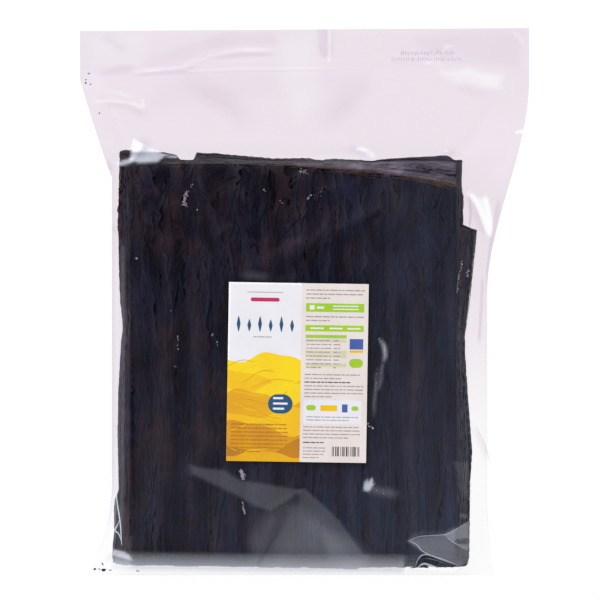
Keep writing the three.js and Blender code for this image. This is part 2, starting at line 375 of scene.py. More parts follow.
    def ply_rise(self, x: Array, y: Array, left_edge: Array, right_edge: Array) -> Array:
        """Returns the rise of a ply, 0 at the creases to 1 between its edges.

        Args:
            x: Places across the bag.
            y: Places along the bag.
            left_edge: x where the left shoulder ends.
            right_edge: x where the right shoulder ends.

        Returns:
            One rise for each place.
        """
        left, right = self.left_crease(y), self.right_crease(y)
        share = np.where(x < 0, progress(x, left, left_edge), progress(x, right, right_edge))
        hollow = self.hollow(y, np.where(x < 0, self.hollow_left, self.hollow_right))
        return blend(round_rise(share), share**2, hollow)

    def edges(self, y: Array, left: float, right: float) -> tuple[Array, Array]:
        """Returns x of a ply's left and right edges at y, from those beside the block."""
        spread = self.header(y)
        return -blend(left, self.header_face, spread), blend(right, self.header_face, spread)

    def face_edges(self, y: Array) -> tuple[Array, Array]:
        """Returns x of the front face's left and right edges at y."""
        return self.edges(y, self.face_left, self.face_right)

    def base_edges(self, y: Array) -> tuple[Array, Array]:
        """Returns x of the base's left and right edges at y."""
        return self.edges(y, self.base_left, self.base_right)

    def label_place(self, x: Array, y: Array) -> tuple[Array, Array]:
        """Returns places in the label's own frame, whose middle is the label's middle."""
        return turned(x - self.label_centre[0], y - self.label_centre[1], -self.label_turn)

    def calm(self, x: Array, y: Array) -> Array:
        """Returns the share of the relief that shows: all of it away from the label."""
        place_x, place_y = self.label_place(x, y)
        out_x = np.abs(place_x) - self.label_size[0] / 2
        out_y = np.abs(place_y) - self.label_size[1] / 2
        return blend(self.label_calm, 1, ease(np.maximum(out_x, out_y), 0, self.label_calm_edge))

    def front_layer_edge(self, x: Array) -> Array:
        """Returns y where the front layer of fronds ends, short of the block's upper edge."""
        across = progress(x, -self.face_left, self.face_right) ** self.layer_edge_power
        return blend(self.layer_edge_left, self.layer_edge_right, across)

    def relief(self, x: Array, y: Array) -> Array:
        """Returns the relief of the pressed fronds: waves, folds and the front layer's edge."""
        swell = 1 + self.swell_share * np.sin(math.tau * y / self.swell_length + self.swell_phase)
        total = swell * sum(
            wave.height * np.sin(math.tau * (x + wave.drift * y) / wave.length + wave.phase)
            for wave in self.frond_waves
        )
        for fold in self.folds:
            _, _, distance = distance_to_path(x, y, (fold.start, fold.end))
            total = total + fold.height * np.exp(-((distance / fold.width) ** 2))
        edge = self.front_layer_edge(x)
        total = total - self.layer_step * ease(y - edge, 0, self.layer_edge_softness)
        on_block = 1 - ease(y, self.block_top, self.block_top + self.top_round)
        on_end = round_rise(progress(y, -self.half_length, self.bottom_round - self.half_length))
        return total * self.calm(x, y) * on_block * on_end

    def slack(self, x: Array, y: Array) -> Array:
        """Returns how far the front sinks where it slopes down to the bottom crimp."""
        total = np.zeros(np.shape(x + y))
        for slope in self.slopes:
            signed, along, _ = distance_to_path(x, y, slope.path)
            ends = ease(np.minimum(along, 1 - along), 0, slope.fade)
            total = total + slope.drop * progress(-signed, 0, slope.width) * ends
        return total * round_rise(progress(y, -self.half_length, self.bottom_round - self.half_length))

    def header_wave(self, x: Array, y: Array) -> Array:
        """Returns the waves of both plies together where the header is empty."""
        waves = (high * np.sin(math.tau * x / long + phase) for long, high, phase in self.header_waves)
        return ease(y, self.header_wave_start, self.half_length) * sum(waves)

    def over_face(self, x: Array, y: Array, relief: Array) -> Array:
        """Returns the height of the upper ply with the given relief on the block."""
        rise = self.ply_rise(x, y, *self.face_edges(y))
        ply = blend(self.crease_height(y), self.top_height(y), rise) + self.edge_ply
        return ply + (relief - self.slack(x, y)) * rise**2 + self.header_wave(x, y)

    def front(self, x: Array, y: Array) -> Array:
        """Returns the height of the upper ply."""
        return self.over_face(x, y, self.relief(x, y))

    def film(self, x: Array, y: Array) -> Array:
        """Returns the height of the upper ply as the film bridges the fronds under it."""
        bridged = self.relief(x, y) * self.film_share + self.film_lift
        return self.over_face(x, y, bridged * (1 - ease(y, self.block_top, self.seal_y)))

    def back(self, x: Array, y: Array) -> Array:
        """Returns the height of the lower ply."""
        rise = self.ply_rise(x, y, *self.base_edges(y))
        ply = blend(self.crease_height(y) - self.edge_ply, self.base_height(y), rise)
        lip = self.edge_ply * rise * ease(y, self.block_top, self.seal_y)
        return np.maximum(ply - lip + self.header_wave(x, y), 0)

    def slanted(self, x: Array, y: Array) -> Array:
        """Returns y after the header's slant."""
        below = self.seal_slant * self.header(y)
        above = blend(self.seal_slant, self.edge_slant, progress(y, self.seal_y, self.half_length))
        return y - np.where(y < self.seal_y, below, above) * (self.half_width - x)

    def unslanted(self, x: Array, seen_y: Array) -> Array:
        """Returns the y whose slanted place is seen_y."""
        y = seen_y
        for _ in range(3):
            y = y + seen_y - self.slanted(x, y)
        return y


# Meshes


def grid_quads(rows: int, columns: int, first: int = 0) -> Array:
    """Returns the quads of a grid whose points run along its rows, facing +Z for y up the rows."""
    row, column = np.meshgrid(np.arange(rows - 1), np.arange(columns - 1), indexing="ij")
    corner = (first + row * columns + column).ravel()
    return np.stack([corner, corner + 1, corner + columns + 1, corner + columns], axis=1)


def closed_sheet(top: Array, bottom: Array, first: int = 0) -> tuple[Array, Array]:
    """Closes two grids of points, one over the other, into a sheet.

    Args:
        top: Points of the upper face, rows by columns, with x, y, z in the last axis.
        bottom: Points of the lower face, in the same order.
        first: Number of the first point.

    Returns:
        The points, one row each, and the quads.
    """
    rows, columns = top.shape[:2]
    count = rows * columns
    numbers = np.arange(count).reshape(rows, columns) + first
    rim = np.concatenate([numbers[0, :-1], numbers[:-1, -1], numbers[-1, :0:-1], numbers[:0:-1, 0]])
    after = np.roll(rim, -1)
    side = np.stack([rim + count, after + count, after, rim], axis=1)
    faces = [grid_quads(rows, columns, first), grid_quads(rows, columns, first + count)[:, ::-1], side]
    return np.concatenate([top.reshape(-1, 3), bottom.reshape(-1, 3)]), np.concatenate(faces)


def drop_unused(quads: Array) -> tuple[Array, Array]:
    """Returns the numbers of the points that quads use, and the quads renumbered to those."""
    used, renumbered = np.unique(quads, return_inverse=True)
    return used, renumbered.reshape(quads.shape)


def ribbon(path: Pairs, width: float, step: float = 1.2) -> tuple[Array, Array]:
    """Lays a narrow ribbon along a path, pointed at both ends.

    Args:
        path: Corner points of the path.
        width: Full width at the middle.
        step: Distance between its points along the path.

    Returns:
        x and y of its points, one row for each station and three columns: left, middle, right.
    """
    middle = smooth_path(path, step)
    heading = np.gradient(middle, axis=0)
    heading /= np.maximum(np.hypot(heading[:, 0], heading[:, 1]), 1e-9)[:, None]
    share = np.linspace(0, 1, len(middle))
    half = width / 2 * np.maximum(np.sin(math.pi * share), 0.04) ** 0.5
    side = np.array([1, 0, -1])[None, :]
    x = middle[:, :1] - heading[:, 1:] * half[:, None] * side
    y = middle[:, 1:] + heading[:, :1] * half[:, None] * side
    return x, y


def place_object(name: str, data: bpy.types.ID) -> Piece:
    """Makes an object of a mesh, a light or a camera and links it to the scene."""
    piece = bpy.data.objects.new(name, data)
    bpy.context.scene.collection.objects.link(piece)
    return piece


def make_mesh(name: str, points: Array, quads: Array, smooth: bool = True) -> Piece:
    """Makes an object of quads and links it to the scene.

    Args:
        name: The piece's name.
        points: Its points in millimetres, one row each.
        quads: Four point numbers for each face.
        smooth: Whether the faces are shaded smooth.

    Returns:
        The new object.
    """
    mesh = bpy.data.meshes.new(name)
    mesh.from_pydata((np.asarray(points, float) * MM).tolist(), [], np.asarray(quads).tolist())
    mesh.polygons.foreach_set("use_smooth", [smooth] * len(mesh.polygons))
    mesh.validate()
    return place_object(name, mesh)


def paint_points(piece: Piece, name: str, values: Array) -> None:
    """Stores one number or one vector for each point of a piece, for its material to read.

    Args:
        piece: The object.
        name: The attribute's name.
        values: One number for each point, or one row of three.
    """
    kind, field_name = ("FLOAT_VECTOR", "vector") if np.ndim(values) == 2 else ("FLOAT", "value")
    attribute = piece.data.attributes.new(name, kind, "POINT")
    attribute.data.foreach_set(field_name, np.asarray(values, np.float32).ravel())


def mount(piece: Piece, material: bpy.types.Material, slot: str, *replaced: str) -> None:
    """Dresses a piece, rides it on the pack and hides the CAD nodes it stands for."""
    piece.data.materials.append(material)
    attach(piece, ROOT_BODY)
    if replaced:
        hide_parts(*replaced)
    log.info("%s: %d faces", piece.name, len(piece.data.polygons))


# Shader helpers and shared effects


class Shader:
    """A thin wrapper that places and links the nodes of one node tree."""

    def __init__(self, tree: Tree) -> None:
        """Starts with the given tree."""
        self.tree = tree

    def add(self, kind: str, inputs: dict | None = None, **settings: object) -> Node:
        """Adds a node.

        Args:
            kind: The node's type name after its usual start, such as Math.
            inputs: Values or output sockets for its inputs, by name or number.
            settings: Properties of the node.

        Returns:
            The new node.
        """
        node = self.tree.nodes.new(f"ShaderNode{kind}")
        for key, value in settings.items():
            setattr(node, key, value)
        for key, value in (inputs or {}).items():
            self.feed(node.inputs[key], value)
        return node

    def feed(self, socket: Socket, value: object) -> None:
        """Links an output socket to an input, or sets the input's own value."""
        if isinstance(value, bpy.types.NodeSocket):
            self.tree.links.new(value, socket)
        else:
            socket.default_value = value

    def finish(self, surface: Node) -> None:
        """Links a surface to a new output of the material."""
        self.add("OutputMaterial", {"Surface": surface.outputs[0]})

    def mix(self, share: object, low: object, high: object) -> Socket:
        """Mixes two colours and returns the colour socket."""
        return self.add("Mix", {0: share, 6: low, 7: high}, data_type="RGBA").outputs[2]

    def math(self, operation: str, first: object, second: object = 0.0, clamp: bool = False) -> Socket:
        """Applies a maths operation and returns its value socket."""
        return self.add("Math", {0: first, 1: second}, operation=operation, use_clamp=clamp).outputs[0]

    def remap(self, value: object, low: float, high: float, to_low: float, to_high: float) -> Socket:
        """Maps a range to another, clamped, and returns the value socket."""
        ends = {"From Min": low, "From Max": high, "To Min": to_low, "To Max": to_high}
        return self.add("MapRange", {"Value": value, **ends}).outputs[0]

    def attribute(self, name: str, part: str = "Fac") -> Socket:
        """Reads what a mesh stores for each point under a name."""
        return self.add("Attribute", attribute_name=name).outputs[part]

    def noise(self, place: Socket, scale: object, detail: float, roughness: float = 0.5) -> Socket:
        """Returns the value socket of a noise over a place."""
        inputs = {"Vector": place, "Scale": scale, "Detail": detail, "Roughness": roughness}
        return self.add("TexNoise", inputs).outputs["Fac"]

    def bump(self, strength: float, depth: float, height: Socket) -> Socket:
        """Returns the normal socket of a bump."""
        return self.add("Bump", {"Strength": strength, "Distance": depth, "Height": height}).outputs[0]


def rgba(colour: Colour) -> tuple[float, float, float, float]:
    """Returns a colour with full alpha."""
    return (*colour, 1.0)


def from_screen(colour: Screen) -> Colour:
    """Returns the linear colour of a screen colour, 0 to 255 a channel."""
    shares = [channel / 255.0 for channel in colour]
    return tuple(s / 12.92 if s <= 0.04045 else ((s + 0.055) / 1.055) ** 2.4 for s in shares)


def new_group(name: str, inputs: dict[str, object], outputs: Sequence[str]) -> tuple[Shader, Node, Node]:
    """Starts a shader node group.

    Args:
        name: The group's name.
        inputs: Its inputs with their defaults, a number or a vector each.
        outputs: Names of its outputs, a number each.

    Returns:
        A Shader that fills the group, its input node and its output node.
    """
    tree = bpy.data.node_groups.new(name, "ShaderNodeTree")
    for label, value in inputs.items():
        kind = "NodeSocketVector" if isinstance(value, tuple) else "NodeSocketFloat"
        tree.interface.new_socket(label, in_out="INPUT", socket_type=kind).default_value = value
    for label in outputs:
        tree.interface.new_socket(label, in_out="OUTPUT", socket_type="NodeSocketFloat")
    source, sink = (tree.nodes.new(f"NodeGroup{end}") for end in ("Input", "Output"))
    return Shader(tree), source, sink


def fibre_streaks() -> Tree:
    """Builds the group of fine streaks that run along each frond.

    Returns:
        A group with Streaks, a fine mask, and Patches, a broad one.
    """
    inputs = {"Grain": (0.0, 0.0, 0.0), "Across": 700.0, "Stretch": 0.06, "Patch Scale": 28.0}
    shader, source, sink = new_group("fibre_streaks", inputs, ("Streaks", "Patches"))
    grain, across, stretch, patch_scale = (source.outputs[name] for name in inputs)
    along = shader.math("MULTIPLY", across, stretch)
    scale = shader.add("CombineXYZ", {0: across, 1: along, 2: across}).outputs[0]
    stretched = shader.add("VectorMath", {0: grain, 1: scale}, operation="MULTIPLY").outputs[0]
    place = shader.add("TexCoord").outputs["Object"]
    shader.feed(sink.inputs["Streaks"], shader.noise(stretched, 1.0, 4.0))
    shader.feed(sink.inputs["Patches"], shader.noise(place, patch_scale, 3.0, 0.6))
    return shader.tree


def sheet_cockle() -> Tree:
    """Builds the group of the faint cockle of thin film and paper.

    Returns:
        A group with Height, for a bump, and Cloud, a broad mask.
    """
    inputs = {"Scale": 60.0, "Fine": 900.0, "Fine Share": 0.2}
    shader, source, sink = new_group("sheet_cockle", inputs, ("Height", "Cloud"))
    place = shader.add("TexCoord").outputs["Object"]
    broad, fine = (shader.noise(place, source.outputs[name], 2.0) for name in ("Scale", "Fine"))
    fine_part = shader.math("MULTIPLY", fine, source.outputs["Fine Share"])
    shader.feed(sink.inputs["Height"], shader.math("ADD", broad, fine_part))
    shader.feed(sink.inputs["Cloud"], broad)
    return shader.tree


@dataclass(frozen=True)
class Effects:
    """Node groups that several finishes share."""

    fibre: Tree
    cockle: Tree


def new_material(name: str) -> tuple[bpy.types.Material, Shader]:
    """Starts a node material and returns it with a Shader that fills it."""
    material = bpy.data.materials.new(name)
    material.use_nodes = True
    material.node_tree.nodes.clear()
    return material, Shader(material.node_tree)


# Finishes


@dataclass(frozen=True)
class FilmFinish:
    """Thin clear film: a faint tint in each ply, a mirror gloss, and a painted glare, a rough pale layer that
    paints highlights and haze.
    """

    tint: Colour = (0.88, 0.824, 0.874)
    # Colour of the painted glare: painted highlights and haze.
    painted_glare_colour: Colour = (0.84, 0.875, 1.0)
    face_gloss: float = 0.014
    edge_gloss: float = 0.13
    sheen: Colour = (0.92, 0.87, 1.0)
    grazing_power: float = 4.5
    roughness: Pair = (0.26, 0.5)
    cockle: float = 0.2
    cockle_depth: float = 0.0005

    def material(self, effects: Effects) -> bpy.types.Material:
        """Builds the film's material.

        Args:
            effects: The shared node groups.

        Returns:
            The material.
        """
        material, shader = new_material("clear_film")
        cockle_inputs = {"Scale": 45.0, "Fine": 160.0, "Fine Share": 0.05}
        cockle = shader.add("Group", cockle_inputs, node_tree=effects.cockle)
        bump = shader.bump(self.cockle, self.cockle_depth, cockle.outputs["Height"])
        # This attribute is the painted glare: painted highlights and haze, laid on as a rough pale layer; below
        # 0 it cuts the gloss for a painted shade.
        veil = shader.attribute("veil")
        # The share of the tint carries painted shade and painted highlights.
        tint = shader.mix(shader.attribute("gather"), rgba(WHITE), rgba(self.tint))
        clear = shader.add("BsdfTransparent", {"Color": tint})
        facing = shader.add("LayerWeight", {"Blend": 0.5, "Normal": bump}).outputs["Facing"]
        grazing = shader.math("POWER", facing, self.grazing_power)
        gloss = shader.math("ADD", shader.math("MULTIPLY", grazing, self.edge_gloss), self.face_gloss)
        solid = shader.math("ADD", gloss, veil, clamp=True)
        painted_glare_share = shader.math("DIVIDE", veil, solid, clamp=True)
        sheen_inputs = {
            "Base Color": shader.mix(painted_glare_share, rgba(self.sheen), rgba(self.painted_glare_colour)),
            "Metallic": shader.math("SUBTRACT", 1.0, painted_glare_share),
            "Roughness": shader.remap(painted_glare_share, 0.0, 1.0, *self.roughness),
            "Normal": bump,
        }
        sheen = shader.add("BsdfPrincipled", sheen_inputs)
        shader.finish(shader.add("MixShader", {0: solid, 1: clear.outputs[0], 2: sheen.outputs[0]}))
        return material


@dataclass(frozen=True)
class FrondFinish:
    """Dried frond: near-black, with purple-brown and blue-grey shades in long streaks; the blue-grey is partly
    a painted reflection of the film's cool sheen.
    """

    name: str
    dark: Colour = (0.0038, 0.0027, 0.0068)
    # Blue-grey: partly the frond's own colour, partly a painted reflection of the film's cool sheen.
    cool: Colour = (0.0155, 0.0225, 0.05)
    warm: Colour = (0.052, 0.027, 0.027)
    ash: Colour = (0.29, 0.26, 0.32)
    roughness: Pair = (0.36, 0.58)
    specular: float = 0.1
    bump: float = 0.3
    bump_depth: float = 0.0006

    def material(self, effects: Effects) -> bpy.types.Material:
        """Builds the fronds' material.

        Args:
            effects: The shared node groups.

        Returns:
            The material.
        """
        material, shader = new_material(self.name)
        grain = shader.attribute("grain", "Vector")
        fibre_inputs = {"Grain": grain, "Across": 620.0, "Stretch": 0.07, "Patch Scale": 26.0}
        fibre = shader.add("Group", fibre_inputs, node_tree=effects.fibre)
        streaks, patches = fibre.outputs["Streaks"], fibre.outputs["Patches"]
        tone, warmth, ash = (shader.attribute(name) for name in ("tone", "warmth", "ash"))
        streaked = shader.math("ADD", tone, shader.remap(streaks, 0.3, 0.7, -0.35, 0.35), clamp=True)
        body = shader.mix(streaked, rgba(self.dark), rgba(self.cool))
        warm_share = shader.math("MULTIPLY", warmth, shader.remap(patches, 0.35, 0.65, 0.2, 1.0))
        colour = shader.mix(warm_share, body, rgba(self.warm))
        ash_share = shader.math("MULTIPLY", ash, shader.remap(streaks, 0.3, 0.7, 0.7, 1.0))
        surface_inputs = {
            "Base Color": shader.mix(ash_share, colour, rgba(self.ash)),
            "Roughness": shader.remap(patches, 0.3, 0.7, *self.roughness),
            "Specular IOR Level": self.specular,
            "Normal": shader.bump(self.bump, self.bump_depth, streaks),
        }
        shader.finish(shader.add("BsdfPrincipled", surface_inputs))
        return material


@dataclass(frozen=True)
class PaperFinish:
    """Coated label paper or an ink on it: satin, with a faint mottle and fibre."""

    name: str
    colour: Screen
    shade: Screen
    roughness: float = 0.5
    roughness_spread: float = 0.08
    bump: float = 0.12
    bump_depth: float = 0.0002

    def material(self, effects: Effects) -> bpy.types.Material:
        """Builds a paper or ink material.

        Args:
            effects: The shared node groups.

        Returns:
            The material.
        """
        material, shader = new_material(self.name)
        cockle_inputs = {"Scale": 38.0, "Fine": 2600.0, "Fine Share": 0.5}
        cockle = shader.add("Group", cockle_inputs, node_tree=effects.cockle)
        height = cockle.outputs["Height"]
        mottle = shader.remap(cockle.outputs["Cloud"], 0.35, 0.65, 0.0, 1.0)
        low, high = self.roughness - self.roughness_spread, self.roughness + self.roughness_spread
        surface_inputs = {
            "Base Color": shader.mix(mottle, *(rgba(from_screen(c)) for c in (self.colour, self.shade))),
            "Roughness": shader.remap(height, 0.4, 0.9, low, high),
            "Normal": shader.bump(self.bump, self.bump_depth, height),
        }
        shader.finish(shader.add("BsdfPrincipled", surface_inputs))
        return material


@dataclass(frozen=True)
class FloorFinish:
    """Pale matt floor that glows: white as it is seen, dimmer as it lights the pack."""

    colour: Colour = (0.03, 0.03, 0.03)
    roughness: float = 0.9
    seen_glow: float = 0.975
    cast_glow: float = 0.5

    def material(self) -> bpy.types.Material:
        """Builds the floor's material."""
        material, shader = new_material("floor_white")
        seen = shader.add("LightPath").outputs["Is Camera Ray"]
        surface_inputs = {
            "Base Color": rgba(self.colour),
            "Roughness": self.roughness,
            "Emission Color": rgba(WHITE),
            "Emission Strength": shader.remap(seen, 0.0, 1.0, self.cast_glow, self.seen_glow),
        }
        shader.finish(shader.add("BsdfPrincipled", surface_inputs))
        return material


# The film


@dataclass(frozen=True)
class Crease:
    """A sharp crease in the film: a thin ridge with a painted highlight, or a painted shade where it is shaded.
    """

    path: Pairs
    width: float
    painted_highlight: float
    shade: float = 0.0


def film_mesh(name: str, points: list, quads: list, tint_with_painted_light_values: list, painted_glare_values: list) -> Piece:
    """Joins parts of film into one piece that stores each point's share of tint, with painted shade and
    highlights in it, and its painted glare.
    """
    piece = make_mesh(name, np.concatenate(points), np.concatenate(quads))
    paint_points(piece, "gather", np.concatenate(tint_with_painted_light_values))
    paint_points(piece, "veil", np.concatenate(painted_glare_values))
    return piece


@dataclass
class Film:
    """The bag's film: an upper and a lower ply that meet in the side creases."""

    form: BagForm
    shoulder_steps: int = 24
    face_steps: int = 150
    base_steps: int = 40
    row_steps: Pairs = ((-220.0, 0.95), (205.0, 1.75), (221.0, 0.8), (246.0, 1.3))
    seal_lines: tuple[float, ...] = (211.5, 218.0)
    seal_emboss: float = 0.5
    seal_line_width: float = 1.3
    # The tint fades to clear towards the bottom, and from further up on the right: painted light.
    clear_right: Pair = (60.0, -170.0)
    clear_left: Pair = (-140.0, -215.0)
    clear_turn: Pair = (130.0, 150.0)
    clear_tint: float = 0.05
    full_tint: float = 0.67
    header_folds: tuple[Stroke, ...] = (
        Stroke(((-158, 206.5), (-108.5, 210), (-89, 222.5), (-59, 225.5), (-23, 225.5)), 1.5, 3, 6),
        Stroke(((12, 244), (16, 232), (21, 221)), 1.2, 3, 3),
        Stroke(((118, 231), (122, 220), (127, 213)), 1.5, 3, 3.5),
        Stroke(((111, 223), (122, 220), (132, 224)), 1, 3, 3),
        Stroke(((-185, 241), (-171, 231), (-157, 221)), 1, 10, 4),
        Stroke(((-185, 181), (-172, 178), (-160, 177), (-139, 165)), 1.3, 3, 7),
        Stroke(((124, 207), (148, 195), (173, 186)), 0.9, 10, 13, 0.5, 1),
        Stroke(((-120, 205), (-70, 178), (-40, 150)), 1.2, 16, 14, 0.5, 1),
        Stroke(((60, 205), (40, 180), (8, 150)), 1, 14, 18, 0.5, 1),
    )
    shoulder_folds: tuple[Stroke, ...] = (
        Stroke(((-142, 149), (-146, 138), (-155, 126)), 3.2, 7, 9, 0.4),
        Stroke(((-150, 134), (-138, 131), (-124, 129)), 1.6, 8, 8, 0.4),
        Stroke(((36, 140), (48, 136), (61, 129)), 2, 5, 6),
        Stroke(((126, 137), (131, 134), (136, 131)), 1.8, 4, 5),
        Stroke(((144, 103), (156, 80), (166, 54)), 2.8, 5, 7, 0.35),
        Stroke(((148, 95), (149.5, 80), (148, 64)), 1.5, 3, 3),
        Stroke(((151, -108), (160, -129), (167, -147)), 1.5, 3, 6),
        Stroke(((-177, 128), (-175, 122), (-172, 116)), 1.6, 3, 3),
        Stroke(((-173, 70), (-171, 65), (-168, 60)), 1.4, 3, 3),
    )
    corner_folds: tuple[Stroke, ...] = (
        Stroke(((-169, -158), (-168.5, -188), (-164.5, -219)), 1.8, 2.2, 2.6, 0.2),
        Stroke(((-173, -194), (-170, -205), (-166, -219)), 1.5, 2.2, 2.4),
        Stroke(((-160, -212), (-168, -224), (-182, -236)), 1.6, 4, 5),
        Stroke(((92, -214), (106, -209), (127, -209), (149, -198)), 2.2, 3, 8, 0.15),
        Stroke(((125, -210), (133, -215.5), (146, -222)), 1.8, 4, 4),
        Stroke(((92, -214), (104, -222), (108, -226), (142, -237)), 1.8, 5, 3, 0.15),
        Stroke(((137, -160), (142, -170), (146, -180)), 1.8, 6, 5, 0.4),
    )
    # Folds take more tint: painted shade along them.
    fold_painted_shade: float = 0.25
    # Painted haze that rises towards the bottom and towards the right.
    low_painted_glare: float = 0.008
    right_painted_glare: float = 0.009
    # How far the painted glare may go below 0, cutting the gloss for a painted shade.
    gloss_cut_for_painted_shade: float = 0.016
    stamp_rows: tuple[tuple[float, float, float, float], ...] = (
        (87, 134, 221.2, 226.2),
        (79, 141, 215.6, 220.4),
    )
    stamp_pitch: float = 2.1
    crease_rise: float = 0.3
    crease_lift: float = 0.06
    # Painted light in the tint: a patch or stroke that adds tint is painted shade, one that takes tint away a
    # painted highlight.
    painted_light_tints: tuple[Patch | Stroke, ...] = (
        Patch(((-88, 226), (-60, 231), (-22, 230), (-27, 243), (-72, 242), (-86, 234)), 0.2, 10),
        Patch(((-145, 211), (-112, 212), (-90, 225), (-76, 240), (-102, 232), (-138, 222)), 0.12, 8),
        Patch(((-22, 234), (10, 240), (12, 190), (-4, 166), (-20, 196)), -0.16, 22),
        Patch(((-190, 214), (-150, 216), (-142, 242), (-196, 240)), -0.12, 16),
        Patch(((12, 246), (13, 228), (18, 219), (21, 222), (21, 246)), 0.4, 3),
        Patch(((-185, 207), (-163, 213), (-152, 212), (-156, 206), (-180, 203)), 0.25, 4),
        Patch(((100, 236), (150, 244), (196, 244), (192, 210), (150, 216), (110, 222)), 0.14, 14),
        Patch(((-120, 205), (60, 208), (60, 190), (-60, 182), (-150, 170)), 0.07, 18),
        Stroke(((160, 24), (159, -2), (156.5, -40)), 0.9, 2.2, 1.8, 0.15),
        Stroke(((175, 96), (167, 44), (164, 2)), 0.7, 5, 2.5, 0.2),
        Stroke(
            ((-158, 206), (-137, 207.5), (-108.5, 210), (-86, 221.5), (-59, 225.5), (-23, 226)),
            -0.5, 3.4, 2.2, 0.2, 1,
        ),
        Stroke(((-156, 203.5), (-130, 205.5), (-107, 207.5), (-95, 213)), 0.36, 2.5, 3),
        Stroke(((-84, 218), (-58, 222), (-20, 222.5)), 0.36, 2.5, 3),
        Stroke(((22.5, 247), (22.5, 228), (22, 214)), -0.9, 1.8, 1.8, 0.1, 1),
        Stroke(((26, 246), (25.6, 224)), 0.5, 1.6, 1.6, 0.1),
        Stroke(((143.5, 100), (149.5, 95.5), (155, 86), (160, 74), (166.5, 57)), -1.15, 4, 3, 0.2, 1),
        Stroke(((161.5, 98), (164.5, 86), (167, 72), (167, 56)), -1.15, 3, 3, 0.2, 1),
        Stroke(((116.5, 217), (122, 222), (127.5, 228.5), (132, 231)), -0.6, 1.8, 1.8, 0.15, 1),
        Stroke(((108, 212.5), (114, 216.5), (122, 221)), -0.5, 1.8, 1.8, 0.2, 1),
        Stroke(((122, 222), (121, 214), (126, 205)), -0.25, 2, 2, 0.2, 1),
        Stroke(((-194, 179), (-176, 180.5), (-152, 177.5), (-141, 171)), -0.42, 2.2, 2.2, 0.2, 1),
        Stroke(((-182, 190), (-164, 187), (-150, 180)), -0.25, 2.2, 2.2, 0.3, 1),
        Stroke(((-146, 184), (-144.5, 177.5), (-143, 173)), -0.7, 1.8, 1.8, 0.2, 1),
        Stroke(((189, 151.5), (197, 153.5)), -1, 1.8, 1.8, 0.2, 1),
        Stroke(((44, 137), (51, 137.5), (57, 134.5), (63, 129)), -1, 2.4, 2.6, 0.2, 1),
        Stroke(((-140, 206), (-60, 209.5), (40, 210.5)), -0.14, 1.6, 1.6, 0.2, 1),
        Stroke(((-140, 203.6), (-60, 207), (40, 208)), 0.14, 1.6, 1.6, 0.2, 1),
        Patch(((152, 94), (161, 92), (166, 76), (165, 60), (158, 80)), -0.5, 4),
        Stroke(((186, 244), (193, 238), (199, 230)), -0.25, 3, 3, 0.3, 1),
        Patch(((122, 206), (136, 196), (158, 192), (176, 192), (178, 204), (160, 206), (146, 210)), -0.36, 8),
    )
